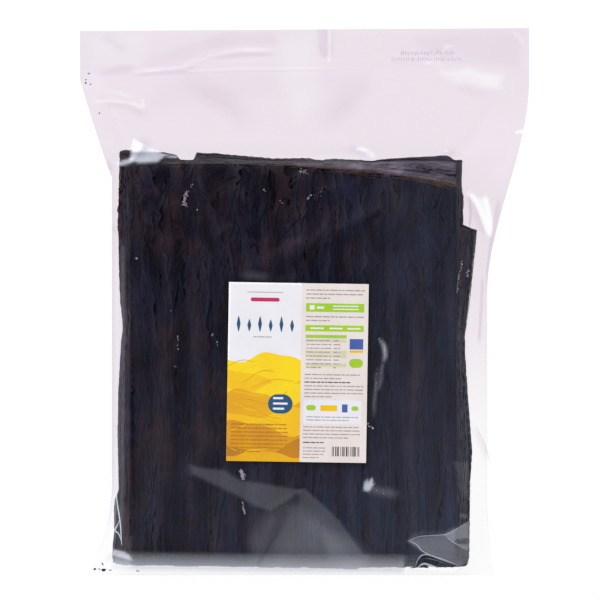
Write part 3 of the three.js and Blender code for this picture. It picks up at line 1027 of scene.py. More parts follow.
    # Painted glare: patches and strokes of painted highlights and haze; those below 0 cut the gloss for a
    # painted shade.
    painted_glares: tuple[Patch | Stroke, ...] = (
        Patch(
            ((-103, -147), (-89.6, -150), (-71.6, -151.7), (-58, -160.7), (-38.3, -163.4), (-4, -169.7),
             (-11.3, -176), (-19.4, -180.5), (-31, -187.7), (-44.6, -183.2), (-59.9, -174.2), (-80.6, -164.3),
             (-101, -154.4)), 0.056, 4.5,
        ),
        Patch(
            ((-18, -180), (-4, -182), (12, -196), (30, -214), (46, -234), (44, -244), (-42, -244), (-48, -214),
             (-36, -194)), 0.05, 18,
        ),
        Stroke(
            ((-9, -170.5), (-0.5, -168.7), (17.6, -185), (30.2, -197), (42.8, -214.6), (51.8, -226.4),
             (62, -231)), 0.052, 1.6, 26, 0.06, 1,
        ),
        Patch(((-4, -190), (16, -196), (50, -236), (-26, -236), (-22, -212)), 0.045, 26),
        Patch(((18, -206), (40, -212), (64, -230), (48, -238), (22, -234)), 0.045, 14),
        Stroke(((-176, -237), (-150, -239), (0, -241), (60, -241), (92, -241.5)), 0.6, 15.6, 5, 0.02, 1.3),
        Patch(((86, -228), (100, -230), (100, -241), (86, -240)), 0.04, 4),
        Stroke(((92, -241), (142, -240)), 0.16, 9, 4, 0.01, 1.4),
        Patch(
            ((98.5, -239.5), (102, -231), (108, -226.4), (124, -231.5), (143, -238.5), (132, -242.5)),
            -0.6, 1.5,
        ),
        Stroke(((-163.5, 66), (-163, 0), (-164, -100), (-165, -216)), 0.05, 3.4, 2.6, 0.08),
        Stroke(((-169, 60), (-168.5, -60), (-170, -160), (-171, -222)), 0.16, 3.5, 3, 0.1),
        Patch(((-156, 135), (-153.5, 146), (-148, 142.5), (-141, 139), (-130, 134.5)), 0.75, 2.4),
        Patch(
            ((-154.5, 136), (-129, 135.5), (-126.5, 130), (-132, 125.5), (-148, 124.6), (-157, 127)), 0.5, 3.4
        ),
        Stroke(((-128, 131.5), (-120, 130.4), (-113, 130.2)), 0.6, 1.6, 1.6, 0.1),
        Stroke(((52, -166), (64, -169.5), (88, -174)), 0.07, 7, 7, 0.3),
        Patch(
            ((53, -169), (53.6, -163.4), (55.6, -159.4), (57.2, -162.5), (60.4, -158.6), (62, -164.3),
             (57.6, -170.6)), 0.5, 2.6,
        ),
        Patch(
            ((-169, 124.6), (-160, 127.6), (-154, 128.6), (-154, 125), (-160, 123), (-168, 121.4)), 0.34, 2.2
        ),
        Patch(
            ((93.2, -214.6), (104, -211), (126.5, -209.3), (130, -214.6), (133.7, -218.3), (141.8, -223.7),
             (147.2, -225.5), (146.3, -234.5), (140.9, -237.2), (122, -231.8), (107.6, -225.5), (98.6, -219.2)),
            0.15, 3,
        ),
        Patch(((126.5, -209.3), (148, -197.6), (148, -224.6), (140.9, -221.9), (132.8, -215.6)), 0.3, 3.5),
        Patch(((134, -213.5), (147, -212.5), (147, -218.5), (137, -217.5)), -0.24, 2.5),
        Patch(((133.7, -143.6), (147.2, -143.6), (147.2, -177), (140, -174), (138, -156)), 0.04, 3),
        Stroke(((138, -191), (143, -192.5), (148.5, -194)), 0.16, 2.5, 2.5),
        Patch(
            ((-172, -222.8), (-162.5, -224.6), (-157, -228), (-154.4, -232.6), (-164, -230), (-173, -228)),
            0.42, 2.5,
        ),
        Stroke(((44, 136.5), (51, 136.5), (56, 133.5), (62, 129)), 0.75, 2.2, 2.6, 0.25),
        Stroke(((124, 134.5), (128, 135.5), (131, 132.5)), 0.7, 1.8, 1.8),
        Stroke(((-62, 24), (-46, 23), (-26, 21)), 0.04, 6, 5, 0.4, 1),
        Stroke(((66.4, -31.6), (71.4, -40), (72.4, -48), (70.6, -57)), 0.34, 2.6, 2.6, 0.4, 1),
        Stroke(((71, -52), (69, -62), (68.4, -72), (65, -82)), 0.09, 2.4, 2.4, 0.3, 1),
        Stroke(((65, -58), (64.2, -74), (62.6, -90), (62.4, -108)), 0.09, 2.2, 2.2, 0.3, 1),
        Patch(((2, 131), (60, 131), (60, 126), (2, 126)), 0.05, 4),
        Patch(((-169, 120), (-157, 120), (-155, 50), (-165, 50)), -0.03, 6),
        Patch(((-160.5, 60), (-153, 60), (-153, -210), (-160.5, -210)), -0.03, 3),
    )
    # Painted highlights along the crease ridges, and painted shade on the shaded ones.
    creases: tuple[Crease, ...] = (
        Crease(((148, 96), (149.2, 82), (148, 64)), 1.6, 0, 5),
        Crease(((168, 58), (165, 40), (163, 18)), 1.8, 0.5),
        Crease(((-169.5, -160), (-168.5, -178), (-165.6, -198), (-164.5, -214), (-164, -219.5)), 1.7, 0.75),
        Crease(((-166, -196), (-168.6, -202), (-170, -205.6), (-166.6, -209), (-164.6, -215)), 1.6, 0.75),
        Crease(((-170, -131), (-168.6, -152), (-167.6, -170)), 1.5, 0.5),
        Crease(((-172.4, -150), (-172.6, -186), (-173.6, -222)), 1.2, 0.35),
        Crease(((93.2, -214.6), (104, -210.8), (126.5, -209), (137, -204), (148, -197.6)), 1.3, 0.42),
        Crease(((93.2, -214.6), (101, -218.5), (106, -224), (121, -231), (140.9, -238)), 1.4, 0.55),
        Crease(((126.5, -209.3), (132.8, -215.6), (145.4, -222.2)), 1.3, 0.5),
        Crease(((99.4, -238.4), (102.4, -230.6), (108.4, -227), (122, -230.6), (138, -236.6)), 1.5, 0.8),
        Crease(((101.6, -238.6), (107, -235.4), (112.6, -236.8), (120, -239.2)), 2.6, 0.95),
        Crease(((107, -230.4), (116, -231.6), (128, -236)), 1, 0.3),
        Crease(((154, -112), (162, -129), (167, -146)), 1.6, 0, 1.8),
    )

    def rows(self) -> Array:
        """Returns the places along the bag at which a row of points runs across."""
        parts, start = [], -self.form.half_length
        for end, step in self.row_steps:
            parts.append(np.linspace(start, end, round((end - start) / step), endpoint=False))
            start = end
        return np.concatenate([*parts, [start]])

    def across(self, rows: Array, edges: tuple[Array, Array], middle_steps: int) -> Array:
        """Spreads places across each row, close together on the shoulders.

        Args:
            rows: y of each row.
            edges: x of the ply's left and right edges in each row.
            middle_steps: Steps between the edges.

        Returns:
            x of every point, one row each.
        """
        left, right = self.form.left_crease(rows), self.form.right_crease(rows)
        shoulder = 1 - np.cos(np.arange(self.shoulder_steps) / self.shoulder_steps * math.pi / 2)
        middle = np.arange(middle_steps + 1) / middle_steps
        parts = [
            blend(left[:, None], edges[0][:, None], shoulder[None]),
            blend(edges[0][:, None], edges[1][:, None], middle[None]),
            blend(right[:, None], edges[1][:, None], shoulder[None, ::-1]),
        ]
        return np.concatenate(parts, axis=1)

    def folds(self) -> tuple[Stroke, ...]:
        """Returns every fold of the upper ply."""
        return self.header_folds + self.shoulder_folds + self.corner_folds

    def upper(self, x: Array, y: Array) -> Array:
        """Returns the height of the upper ply with its folds and its pressed seal lines."""
        seen_y = self.form.slanted(x, y)
        height = self.form.film(x, y)
        for line in self.seal_lines:
            height = height + self.seal_emboss * progress(np.abs(y - line), self.seal_line_width, 0)
        return height + layered(self.folds(), x, seen_y)

    def gather(self, x: Array, y: Array) -> Array:
        """Returns the share of the film's tint at each place: higher where shade is painted, lower where
        painted light clears the film.
        """
        seen_y = self.form.slanted(x, y)
        beside = ease(x, *self.clear_turn)
        right, left = (ease(y, low, high) for high, low in (self.clear_right, self.clear_left))
        total = self.clear_tint + self.full_tint * blend(left, right, beside)
        total = total + self.fold_painted_shade * layered(self.folds(), x, seen_y) + layered(self.painted_light_tints, x, seen_y)
        return np.maximum(total, 0)

    def veil(self, x: Array, y: Array) -> Array:
        """Returns the painted glare of the upper ply, painted highlights and haze, and less than 0 where its
        gloss is cut for a painted shade.
        """
        low, right = ease(-y, -60, 200), ease(x, 20, 110) * (x < 140)
        total = (self.low_painted_glare * low + self.right_painted_glare * right) * (1 - ease(y, 100, 124))
        total = total + layered(self.painted_glares, x, self.form.slanted(x, y))
        return np.clip(total, -self.gloss_cut_for_painted_shade, 1)

    def build_plies(self) -> Piece:
        """Builds both plies as one piece, joined along the side creases.

        Returns:
            The film.
        """
        form, rows = self.form, self.rows()
        face = self.across(rows, form.face_edges(rows), self.face_steps)
        base = self.across(rows, form.base_edges(rows), self.base_steps)
        points, tint_with_painted_light_values, painted_glare_values = [], [], []
        for x, height in ((face, self.upper), (base, form.back)):
            y = np.repeat(rows[:, None], x.shape[1], axis=1)
            points.append(np.stack([x, form.slanted(x, y), height(x, y)], axis=-1).reshape(-1, 3))
            tint_with_painted_light_values.append(self.gather(x, y).ravel())
            painted_glare_values.append((self.veil(x, y) * (x is face)).ravel())
        face_numbers = np.arange(face.size).reshape(face.shape)
        base_numbers = np.arange(base.size).reshape(base.shape) + face.size
        quads = [grid_quads(*face.shape), grid_quads(*base.shape, first=face.size)[:, ::-1]]
        for column in (0, -1):
            upper, lower = face_numbers[:, column], base_numbers[:, column]
            crease = np.stack([lower[:-1], lower[1:], upper[1:], upper[:-1]], axis=1)
            quads.append(crease[:, ::-1] if column == 0 else crease)
        return film_mesh("bag_film", points, quads, tint_with_painted_light_values, painted_glare_values)

    def stamp(self) -> list[Crease]:
        """Returns the two faint rows of plain ticks stamped on the header."""
        rng, ticks = np.random.default_rng(29), []
        for left, right, low, high in self.stamp_rows:
            for x in np.arange(left, right, self.stamp_pitch):
                foot, head = low + rng.uniform(0, 1.4), high - rng.uniform(0, 1.4)
                ticks.append(Crease(((x, foot), (x + rng.uniform(-0.5, 0.5), head)), 0.9, 0))
        return ticks

    def lay(self, name: str, creases: Sequence[Crease]) -> Piece:
        """Builds creases as thin ridges that lie on the upper ply.

        Args:
            name: The piece's name.
            creases: The creases.

        Returns:
            The creases, one piece.
        """
        points, quads, tint_with_painted_light_values, painted_glare_values, count = [], [], [], [], 0
        for crease in creases:
            x, seen_y = ribbon(crease.path, crease.width)
            rise = np.array([0, 1, 0])[None, :] * self.crease_rise + self.crease_lift
            height = self.upper(x, self.form.unslanted(x, seen_y)) + rise
            points.append(np.stack([x, seen_y, height], axis=-1).reshape(-1, 3))
            quads.append(grid_quads(*x.shape, first=count)[:, ::-1])
            count += x.size
            # The middle of each ribbon carries the crease's painted highlight and painted shade.
            painted_glare_values.append(np.tile([0, crease.painted_highlight, 0], len(x)))
            tint_with_painted_light_values.append(np.tile([0, crease.shade, 0], len(x)))
        return film_mesh(name, points, quads, tint_with_painted_light_values, painted_glare_values)

    def build(self) -> list[Piece]:
        """Builds the film, its sharp creases and its stamp."""
        laid = (("film_creases", self.creases), ("film_stamp", self.stamp()))
        return [self.build_plies(), *(self.lay(name, creases) for name, creases in laid)]

    def dress(self, pieces: Sequence[Piece], effects: Effects) -> None:
        """Gives the film its finish and its place in the pack."""
        clear = FilmFinish().material(effects)
        stamped = PaperFinish("stamp_ink", (196, 186, 200), (206, 196, 210), 0.6).material(effects)
        for piece, material in zip(pieces, (clear, clear, stamped)):
            mount(piece, material, "clear_film", "sealed_bag")


# The pressed seaweed

def outline_at(outline: Pairs, place: Array) -> Array:
    """Returns how far an outline stands out at each place along it."""
    return np.interp(place, *zip(*outline))


@dataclass(frozen=True)
class PressedBlock:
    """The block of pressed fronds as a sheet that bends down over its own edges.

    A place on it is (u, v). Between the face's edges it is (x, y); past them it runs down the
    side, by as much as it lies past the edge. Each outline lists (place along it, distance from
    the middle), seen from above.
    """

    form: BagForm
    clearance: float = 0.6
    face_bottom: float = -226.0
    face_top: float = 124.0
    side_length: float = 52.0
    floor_gap: float = 1.0
    corner_power: float = 6.0
    pressed: float = 1.5
    widest: float = 0.8
    turn_length: float = 9.0
    left_outline: Pairs = (
        (-245, 173), (-222, 172.8), (-206, 171.2), (-186, 171.6), (-177, 170.6), (-170, 167.3),
        (-150, 167.6), (-118, 168.5), (-80, 167.9), (-50, 166.2), (-36, 165.4), (-24, 163.8),
        (2, 166), (36, 167.5), (60, 167.8), (66, 168.8), (78, 168), (82, 169.1), (87, 167.5),
        (118, 167), (137, 166.4),
    )
    right_outline: Pairs = (
        (-239, 140), (-233.6, 144.5), (-228, 148), (-162, 149), (-135, 150.8), (-118, 149.5),
        (-81, 146.8), (-50, 144.7), (-32, 144.2), (1.4, 148.9), (48, 153.8), (64.6, 155.2), (65.6, 141),
        (69, 142.9), (78, 143), (79, 141.8), (84, 143.2), (95, 143.6), (96.5, 142.3), (124, 142.3),
    )
    top_outline: Pairs = (
        (-166, 137.8), (-127, 135.2), (-115, 132.8), (-113, 128.3), (-98.6, 127.8), (-97, 134.8),
        (-82, 134.2), (-62, 132.3), (-40, 130.2), (-28, 128.9), (4, 129.4), (12, 127.4), (17, 127.6),
        (24, 128.9), (50, 128.1), (60, 126.8), (68, 128.6), (92, 130.5), (124, 132), (130, 131.8),
        (135, 128),
    )
    bottom_outline: Pairs = (
        (-173, 236), (-150, 238), (0, 240), (34, 240.2), (36, 241.6), (47, 241.6),
        (49, 240.2), (140, 239),
    )

    def past_face(self, u: Array, v: Array) -> tuple[Array, Array, Array, Array]:
        """Returns the nearest place on the face, x and y, and how far u and v lie past it."""
        x = np.clip(u, -self.form.face_left, self.form.face_right)
        y = np.clip(v, self.face_bottom, self.face_top)
        return x, y, u - x, v - y

    def on_sheet(self, u: Array, v: Array) -> Array:
        """Returns whether a place lies on the face or on a side, above the floor."""
        _, _, away_u, away_v = self.past_face(u, v)
        return np.hypot(away_u, away_v) <= self.side_length

    def keep_under(self, height: Array, ceiling: Array) -> Array:
        """Presses heights flat under a ceiling, in the order in which they lie."""
        gap = ceiling - height
        tight = self.pressed * np.exp(np.minimum((gap - self.pressed) / self.pressed, 0))
        return ceiling - np.where(gap > self.pressed, gap, tight)

    def place(self, u: Array, v: Array, lift: Array) -> Array:
        """Maps places on the sheet to points.

        Args:
            u: Places across.
            v: Places along.
            lift: Height above the sheet, outwards.

        Returns:
            Points with x, y, z in the last axis.
        """
        form, power = self.form, self.corner_power
        x, y, away_u, away_v = self.past_face(u, v)
        past = np.hypot(away_u, away_v)
        out_x, out_y = away_u / np.maximum(past, 1e-6), away_v / np.maximum(past, 1e-6)
        corner = np.maximum(np.abs(out_x) ** power + np.abs(out_y) ** power, 1e-3) ** (-1 / power)
        down = np.minimum(past, self.side_length)
        share = down / self.side_length
        swell = np.sin(share / self.widest * math.pi / 2)
        turn = ease(down, 0, self.turn_length)
        left = outline_at(self.left_outline, y) - form.face_left
        right = outline_at(self.right_outline, y) - form.face_right
        bottom = outline_at(self.bottom_outline, x) + self.face_bottom
        top = outline_at(self.top_outline, x) - self.face_top
        point_x = x + out_x * corner * (np.where(away_u < 0, left, right) * swell + lift * turn)
        point_y = y + out_y * corner * (np.where(away_v < 0, bottom, top) * swell + lift * turn)
        level = form.front(x, y) - self.clearance
        height = level - share * (level - self.floor_gap) + lift * (1 - turn)
        low = form.back(point_x, point_y) + self.floor_gap
        height = self.keep_under(height, form.film(point_x, point_y) - self.clearance)
        return np.stack([point_x, point_y, np.maximum(height, low)], axis=-1)

    def place_under(self, u: Array, v: Array, lift: Array) -> Array:
        """Maps places to points on the block's underside, with lift towards the floor."""
        x, y, _, _ = self.past_face(u, v)
        return np.stack([x, y, self.form.back(x, y) + np.maximum(self.floor_gap - lift, 0.2)], axis=-1)


class FrondCut(Enum):
    """Widths of frond in the bed, from a broad blade to a thread."""

    BLADE = "blade"
    STRIP = "strip"
    THREAD = "thread"
    BAND = "band"
    RIM = "rim"
    BASE = "base"


@dataclass(frozen=True)
class FrondKind:
    """How one cut of frond is sized and laid."""

    cut: FrondCut
    count: int
    seed: int
    stations: int
    columns: int
    width: Pair
    length: Pair
    depth: Pair
    tilt: float
    sway: float
    curl: float
    crinkle: float


@dataclass(frozen=True)
class StainAndShadeMark:
    """A mark on the pack's front: how much lighter and browner it is. A darker one is painted shade in a fold
    or a gap; a browner one is a stain.
    """

    path: Pairs
    width: float
    tone: float
    warmth: float = 0.0


@dataclass(frozen=True)
class Shades:
    """Shades of the pressed fronds over the whole front."""

    stains_and_shade_marks: tuple[StainAndShadeMark, ...] = (
        StainAndShadeMark(((-4, 44), (6.8, 55.4), (15.8, 66.2), (24.8, 84.2)), 7, 0.3, 0.9),
        StainAndShadeMark(((-38, 35.6), (-17.6, 52.7), (0.5, 55.4)), 8, 0.35, 0.5),
        StainAndShadeMark(((-82, 55), (-74, 66), (-63, 70)), 6, 0.2, 0.75),
        StainAndShadeMark(((-62.5, 54.5), (-49, 56.4), (-36, 50)), 4, 0.3, 0.5),
        StainAndShadeMark(((-148, 104), (-147, 82)), 4, 0.1, 0.45),
        StainAndShadeMark(((-159, 55), (-146, 35.6), (-139, 12)), 5, 0.1, 0.5),
        StainAndShadeMark(((-58.5, 114), (-55, 88)), 3.5, 0.3, 0.6),
        StainAndShadeMark(((50, 34), (59, 47), (68, 34)), 8, 0.15, 0.5),
        StainAndShadeMark(((126, -122), (128, -143), (131.5, -162)), 3, 0.2, 0.9),
        StainAndShadeMark(((84, -168), (90, -180)), 4, 0.2, 0.6),
        StainAndShadeMark(((-38, 6), (-22, 20), (-2, 24)), 10, 0.1, 0.45),
        StainAndShadeMark(((-130, 0), (-126, -40), (-130, -90)), 8, 0, 0.35),
        StainAndShadeMark(((-92, -20), (-88, -80), (-94, -120)), 7, -0.1, 0.3),
        StainAndShadeMark(((5.9, 18), (7.7, 35.6), (12, 46), (19, 50.5), (29, 54.5)), 2.6, -0.9, -0.6),
        StainAndShadeMark(((51, 69), (61, 75), (70.5, 82)), 7, -1, -0.8),
        StainAndShadeMark(((-94, 104), (-88, 106), (-78, 105), (-76, 90), (-82, 76)), 2.6, -0.8, 0),
        StainAndShadeMark(((-86, 98), (-84, 84)), 8, -0.35, 0.35),
        StainAndShadeMark(((-76, 77.5), (-72, 78.5)), 4, -1, -0.5),
        StainAndShadeMark(((138, 72), (127, 46), (114, 23)), 3, -0.8, 0),
        StainAndShadeMark(((133, 66), (123, 44)), 2.4, -0.6, 0),
        StainAndShadeMark(((94, 9.2), (108, 11), (121, 12.4)), 2.2, -0.8, 0),
        StainAndShadeMark(((-126, 105), (-124, 90), (-119, 77)), 2.6, -0.8, 0),
        StainAndShadeMark(((-112, 110), (-119, 98), (-118, 84)), 2.4, -0.7, 0),
        StainAndShadeMark(((-140, 98), (-134, 92), (-130, 82)), 12, -0.35, -0.4),
        StainAndShadeMark(((-104, 92), (-102, 76), (-98, 56)), 8, 0.3, -0.3),
        StainAndShadeMark(((78, 46), (88, 52), (96, 44)), 9, -0.3, -0.5),
        StainAndShadeMark(((80, 38), (88, 19), (91, 0)), 6, 0.75, -0.4),
        StainAndShadeMark(((108, 8), (122, -15)), 7, 0.8, -0.3),
        StainAndShadeMark(((74, -110), (76, -150)), 3, 0.5, -0.3),
        StainAndShadeMark(((108.5, -60), (109.5, -92), (110, -118)), 2.4, 0.8, -0.3),
        StainAndShadeMark(((-134.5, -143), (-137, -197)), 5, 0.5, -0.3),
        StainAndShadeMark(((-107, 46), (-96, 20)), 8, 0.25, -0.2),
        StainAndShadeMark(((-146, 0), (-143, -40), (-145, -70)), 4, 0.55, -0.3),
        StainAndShadeMark(((92, 100), (120, 96), (132, 108)), 12, -0.15, -0.5),
    )

    def at(self, u: Array, v: Array) -> tuple[Array, Array]:
        """Returns the tone and the warmth at each place, before a frond's own."""
        curled = ease(v, 5, 90) * (1 - ease(u, -60, 130))
        blotch = Ripple(5, 18, 80, 14).at(u, v * 0.7)
        brown = Ripple(9, 14, 90, 14).at(u, v * 0.6) + 0.8 * curled - 0.9 * ease(u, 10, 110)
        low = 0.18 * ease(-v, 60, 200) * ease(u, -120, -40)
        dim = 0.13 * ease(v, 5, 90) * (1 - ease(u, -120, 60))
        beside = ease(-v, -60, 40) * (1 - ease(u, -60, 20))
        # Darker down the left side: painted shade on that side; browner there too.
        side = ease(-u, 154, 162)
        tone = 0.285 + 0.15 * blotch + 0.24 * ease(u, -20, 110) - dim + low - 0.04 * beside - 0.14 * side
        warmth = 0.1 + 0.2 * brown + 0.06 * beside + 0.12 * side
        # Marks of negative tone paint shade into folds and gaps.
        for mark in self.stains_and_shade_marks:
            share = Stroke(mark.path, 1, mark.width / 2, mark.width / 2, 0.25, 0.8).at(u, v)
            tone = tone + share * mark.tone
            warmth = warmth + share * mark.warmth
        return tone, warmth


@dataclass
class FrondBed:
    """All the fronds of one cut, laid over the block."""

    block: PressedBlock
    kind: FrondKind
    front_layer_ragged: float = 1.8
    grain_spread: float = 900.0

    def curl_zone(self, u: Array, v: Array) -> Array:
        """Returns how curled the fronds lie at a place: most at the upper left."""
        upper = ease(v, 5, 90)
        left = 1 - ease(u, -60, 130)
        return upper * (0.35 + 0.65 * left)

    def middles(self, rng: np.random.Generator) -> tuple[Array, Array, Array]:
        """Returns where the middle of each frond lies, and which way it heads."""
        kind, block, form = self.kind, self.block, self.block.form
        if kind.cut in (FrondCut.RIM, FrondCut.BAND):
            rim = kind.cut is FrondCut.RIM
            start = -(0.7 if rim else 1.1) * form.face_left
            u = rng.uniform(start, form.face_right, kind.count)
            edge = form.front_layer_edge(u)
            if rim:
                past = rng.normal(1, 1.6, kind.count)
            else:
                past = (block.face_top + 30 - edge) * rng.random(kind.count)
            lean = -0.03 - 0.13 * ease(u, 20, 110) * (1 - ease(past, 8, 26))
            return u, edge + past, rng.normal(lean, kind.tilt)
        margin = 0 if kind.cut is FrondCut.BASE else block.side_length
        u = rng.uniform(-form.face_left - margin, form.face_right + margin, kind.count)
        v = rng.uniform(block.face_bottom - 20, block.face_top + 26, kind.count)
        zone = self.curl_zone(u, v)
        return u, v, math.pi / 2 + rng.normal(0, 1, kind.count) * kind.tilt * (1 + 5 * zone)

    def paint(
        self, piece: Piece, rng: np.random.Generator, sheet: tuple[Array, Array],
        frond: tuple[Array, Array], used: Array
    ) -> None:
        """Stores the shade of every point: its place's shade and a part that is its frond's own.

        Args:
            piece: The fronds.
            rng: Source of the random draws.
            sheet: Places of all points on the block, u and v, one frond a row.
            frond: Places of all points in their own frond, across it and along it.
            used: Numbers of the points that the piece keeps.
        """
        u, v = sheet
        tone, warmth = Shades().at(u, v)
        own_tone, own_warmth = rng.normal(0, 1, (2, self.kind.count, 1, 1))
        own = 0.08 + 0.1 * self.curl_zone(u, v)
        paint_points(piece, "tone", np.clip(tone + own * own_tone, 0.0, 1.0).ravel()[used])
        paint_points(piece, "warmth", np.clip(warmth + 1.2 * own * own_warmth, 0.0, 1.0).ravel()[used])
        paint_points(piece, "ash", ash_and_painted_side_sheen_at(self.block.form, u, v).ravel()[used])
        start = rng.uniform(-self.grain_spread, self.grain_spread, (3, self.kind.count, 1, 1))
        grain = [place + away for place, away in zip((*frond, np.zeros(u.shape)), start)]
        paint_points(piece, "grain", np.stack(grain, axis=-1).reshape(-1, 3)[used] * MM)

    def build(self) -> Piece:
        """Builds every frond of this cut as one mesh.

        Returns:
            The piece.
        """
        kind, block = self.kind, self.block
        rng = np.random.default_rng(kind.seed)
        count, stations, columns = kind.count, kind.stations, kind.columns
        middle_u, middle_v, heading = self.middles(rng)
        zone = self.curl_zone(middle_u, middle_v) * (kind.cut not in (FrondCut.RIM, FrondCut.BAND))
        length = rng.uniform(*kind.length, count) * (1 - 0.45 * zone)
        width = np.exp(rng.uniform(np.log(kind.width[0]), np.log(kind.width[1]), count))
        along = np.linspace(-0.5, 0.5, stations)[None, :]
        bend = rng.normal(0, 0.25, (count, 1)) * (0.3 + 2.2 * zone[:, None])
        wave = rng.uniform(0.6, 2.6, (count, 1))
        phase = rng.uniform(0, math.tau, (count, 4))
        sway = kind.sway * (0.5 + 1.6 * zone[:, None])
        turn = heading[:, None] + bend * along * 2
        turn = turn + sway * np.sin(math.tau * wave * along + phase[:, :1])
        turn = turn + 0.4 * sway * np.sin(math.tau * wave * 2.7 * along + phase[:, 1:2])
        step = length[:, None] / (stations - 1)
        spine_u = np.cumsum(np.cos(turn), axis=1) * step - np.cos(heading)[:, None] * length[:, None] / 2
        spine_v = np.cumsum(np.sin(turn), axis=1) * step - np.sin(heading)[:, None] * length[:, None] / 2
        taper = np.sqrt(np.clip(1 - (2 * np.abs(along)) ** 3, 0.02, 1))
        ragged = 0.75 + 0.25 * np.sin(math.tau * wave * 5.3 * along + phase[:, 2:3])
        cross = np.linspace(-1, 1, columns)[None, None, :]
        offset = cross * (width[:, None] / 2 * taper * ragged)[..., None]
        u = (middle_u[:, None] + spine_u)[..., None] - np.sin(turn)[..., None] * offset
        v = (middle_v[:, None] + spine_v)[..., None] + np.cos(turn)[..., None] * offset
        depth = rng.uniform(*kind.depth, (count, 1, 1))
        pleat = np.cos(math.pi * cross * rng.integers(1, 4, (count, 1, 1)) + phase[:, 3, None, None])
        crinkle = np.sin(math.tau * wave * 9 * along + phase[:, 1:2])[..., None]
        lift = kind.curl * cross**2 * (0.4 + 0.6 * crinkle) - depth
        lift = lift + kind.crinkle * pleat * (0.6 + 0.4 * crinkle)
        under = kind.cut is FrondCut.BASE
        points = (block.place_under if under else block.place)(u, v, lift)

        frond_quads = grid_quads(stations, columns)
        quads = (frond_quads[None] + (np.arange(count) * stations * columns)[:, None, None]).reshape(-1, 4)
        quads = quads if under else quads[:, ::-1]
        kept = block.on_sheet(u, v)
        if not under:
            limit = block.form.front_layer_edge(u) + rng.normal(0, self.front_layer_ragged, (count, 1, 1))
            in_front = v < limit if kind.cut is not FrondCut.BAND else v > limit
            kept &= in_front | (kind.cut is FrondCut.RIM)
        used, quads = drop_unused(quads[kept.ravel()[quads].all(axis=1)])
        piece = make_mesh(f"fronds_{kind.cut.value}", points.reshape(-1, 3)[used], quads)
        run = np.repeat((along * length[:, None])[..., None], columns, axis=2)
        self.paint(piece, rng, (u, v), (offset, run), used)
        return piece


def ash_and_painted_side_sheen_at(form: BagForm, u: Array, v: Array) -> Array:
    """Returns how ashen the fronds are past the front layer's edge, with a paler strip down both sides that is
    a painted reflection of the film's sheen.
    """
    mottle = Ripple(41, 4, 40, 14).at(u, v * 1.6)
    pale = 0.08 + 0.16 * ease(u, -110, -70) + 0.52 * ease(u, -40, 20) - 0.28 * ease(u, 70, 110)
    pale = pale * (1 - ease(u, form.face_right, form.face_right + 5)) * (1 - ease(v, 128, 142))
    band = pale * ease(v - form.front_layer_edge(u), -1, 4)
    # Paler strips down the sides: a painted reflection of the film's sheen on the block's shoulders.
    left = 0.1 * ease(-u, form.face_left, form.face_left + 6) * ease(-v, -40, 40)
    right = 0.14 * ease(u, form.face_right, form.face_right + 6) * (1 - ease(v, 60, 90))
    return np.clip((band + left + right) * (0.75 + 0.3 * mottle), 0, 1)


def round_corner(away_u: Array, away_v: Array, side: float) -> tuple[Array, Array]:
    """Bends the square corner of a sheet into a quarter disc.

    Args:
        away_u: Distance past the face across, up to side either way.
        away_v: Distance past the face along, up to side either way.
        side: Width of the square and radius of the disc.

    Returns:
        Both distances within the disc.
    """
    share_u, share_v = away_u / side, away_v / side
    return away_u * np.sqrt(1 - share_v**2 / 2), away_v * np.sqrt(1 - share_u**2 / 2)


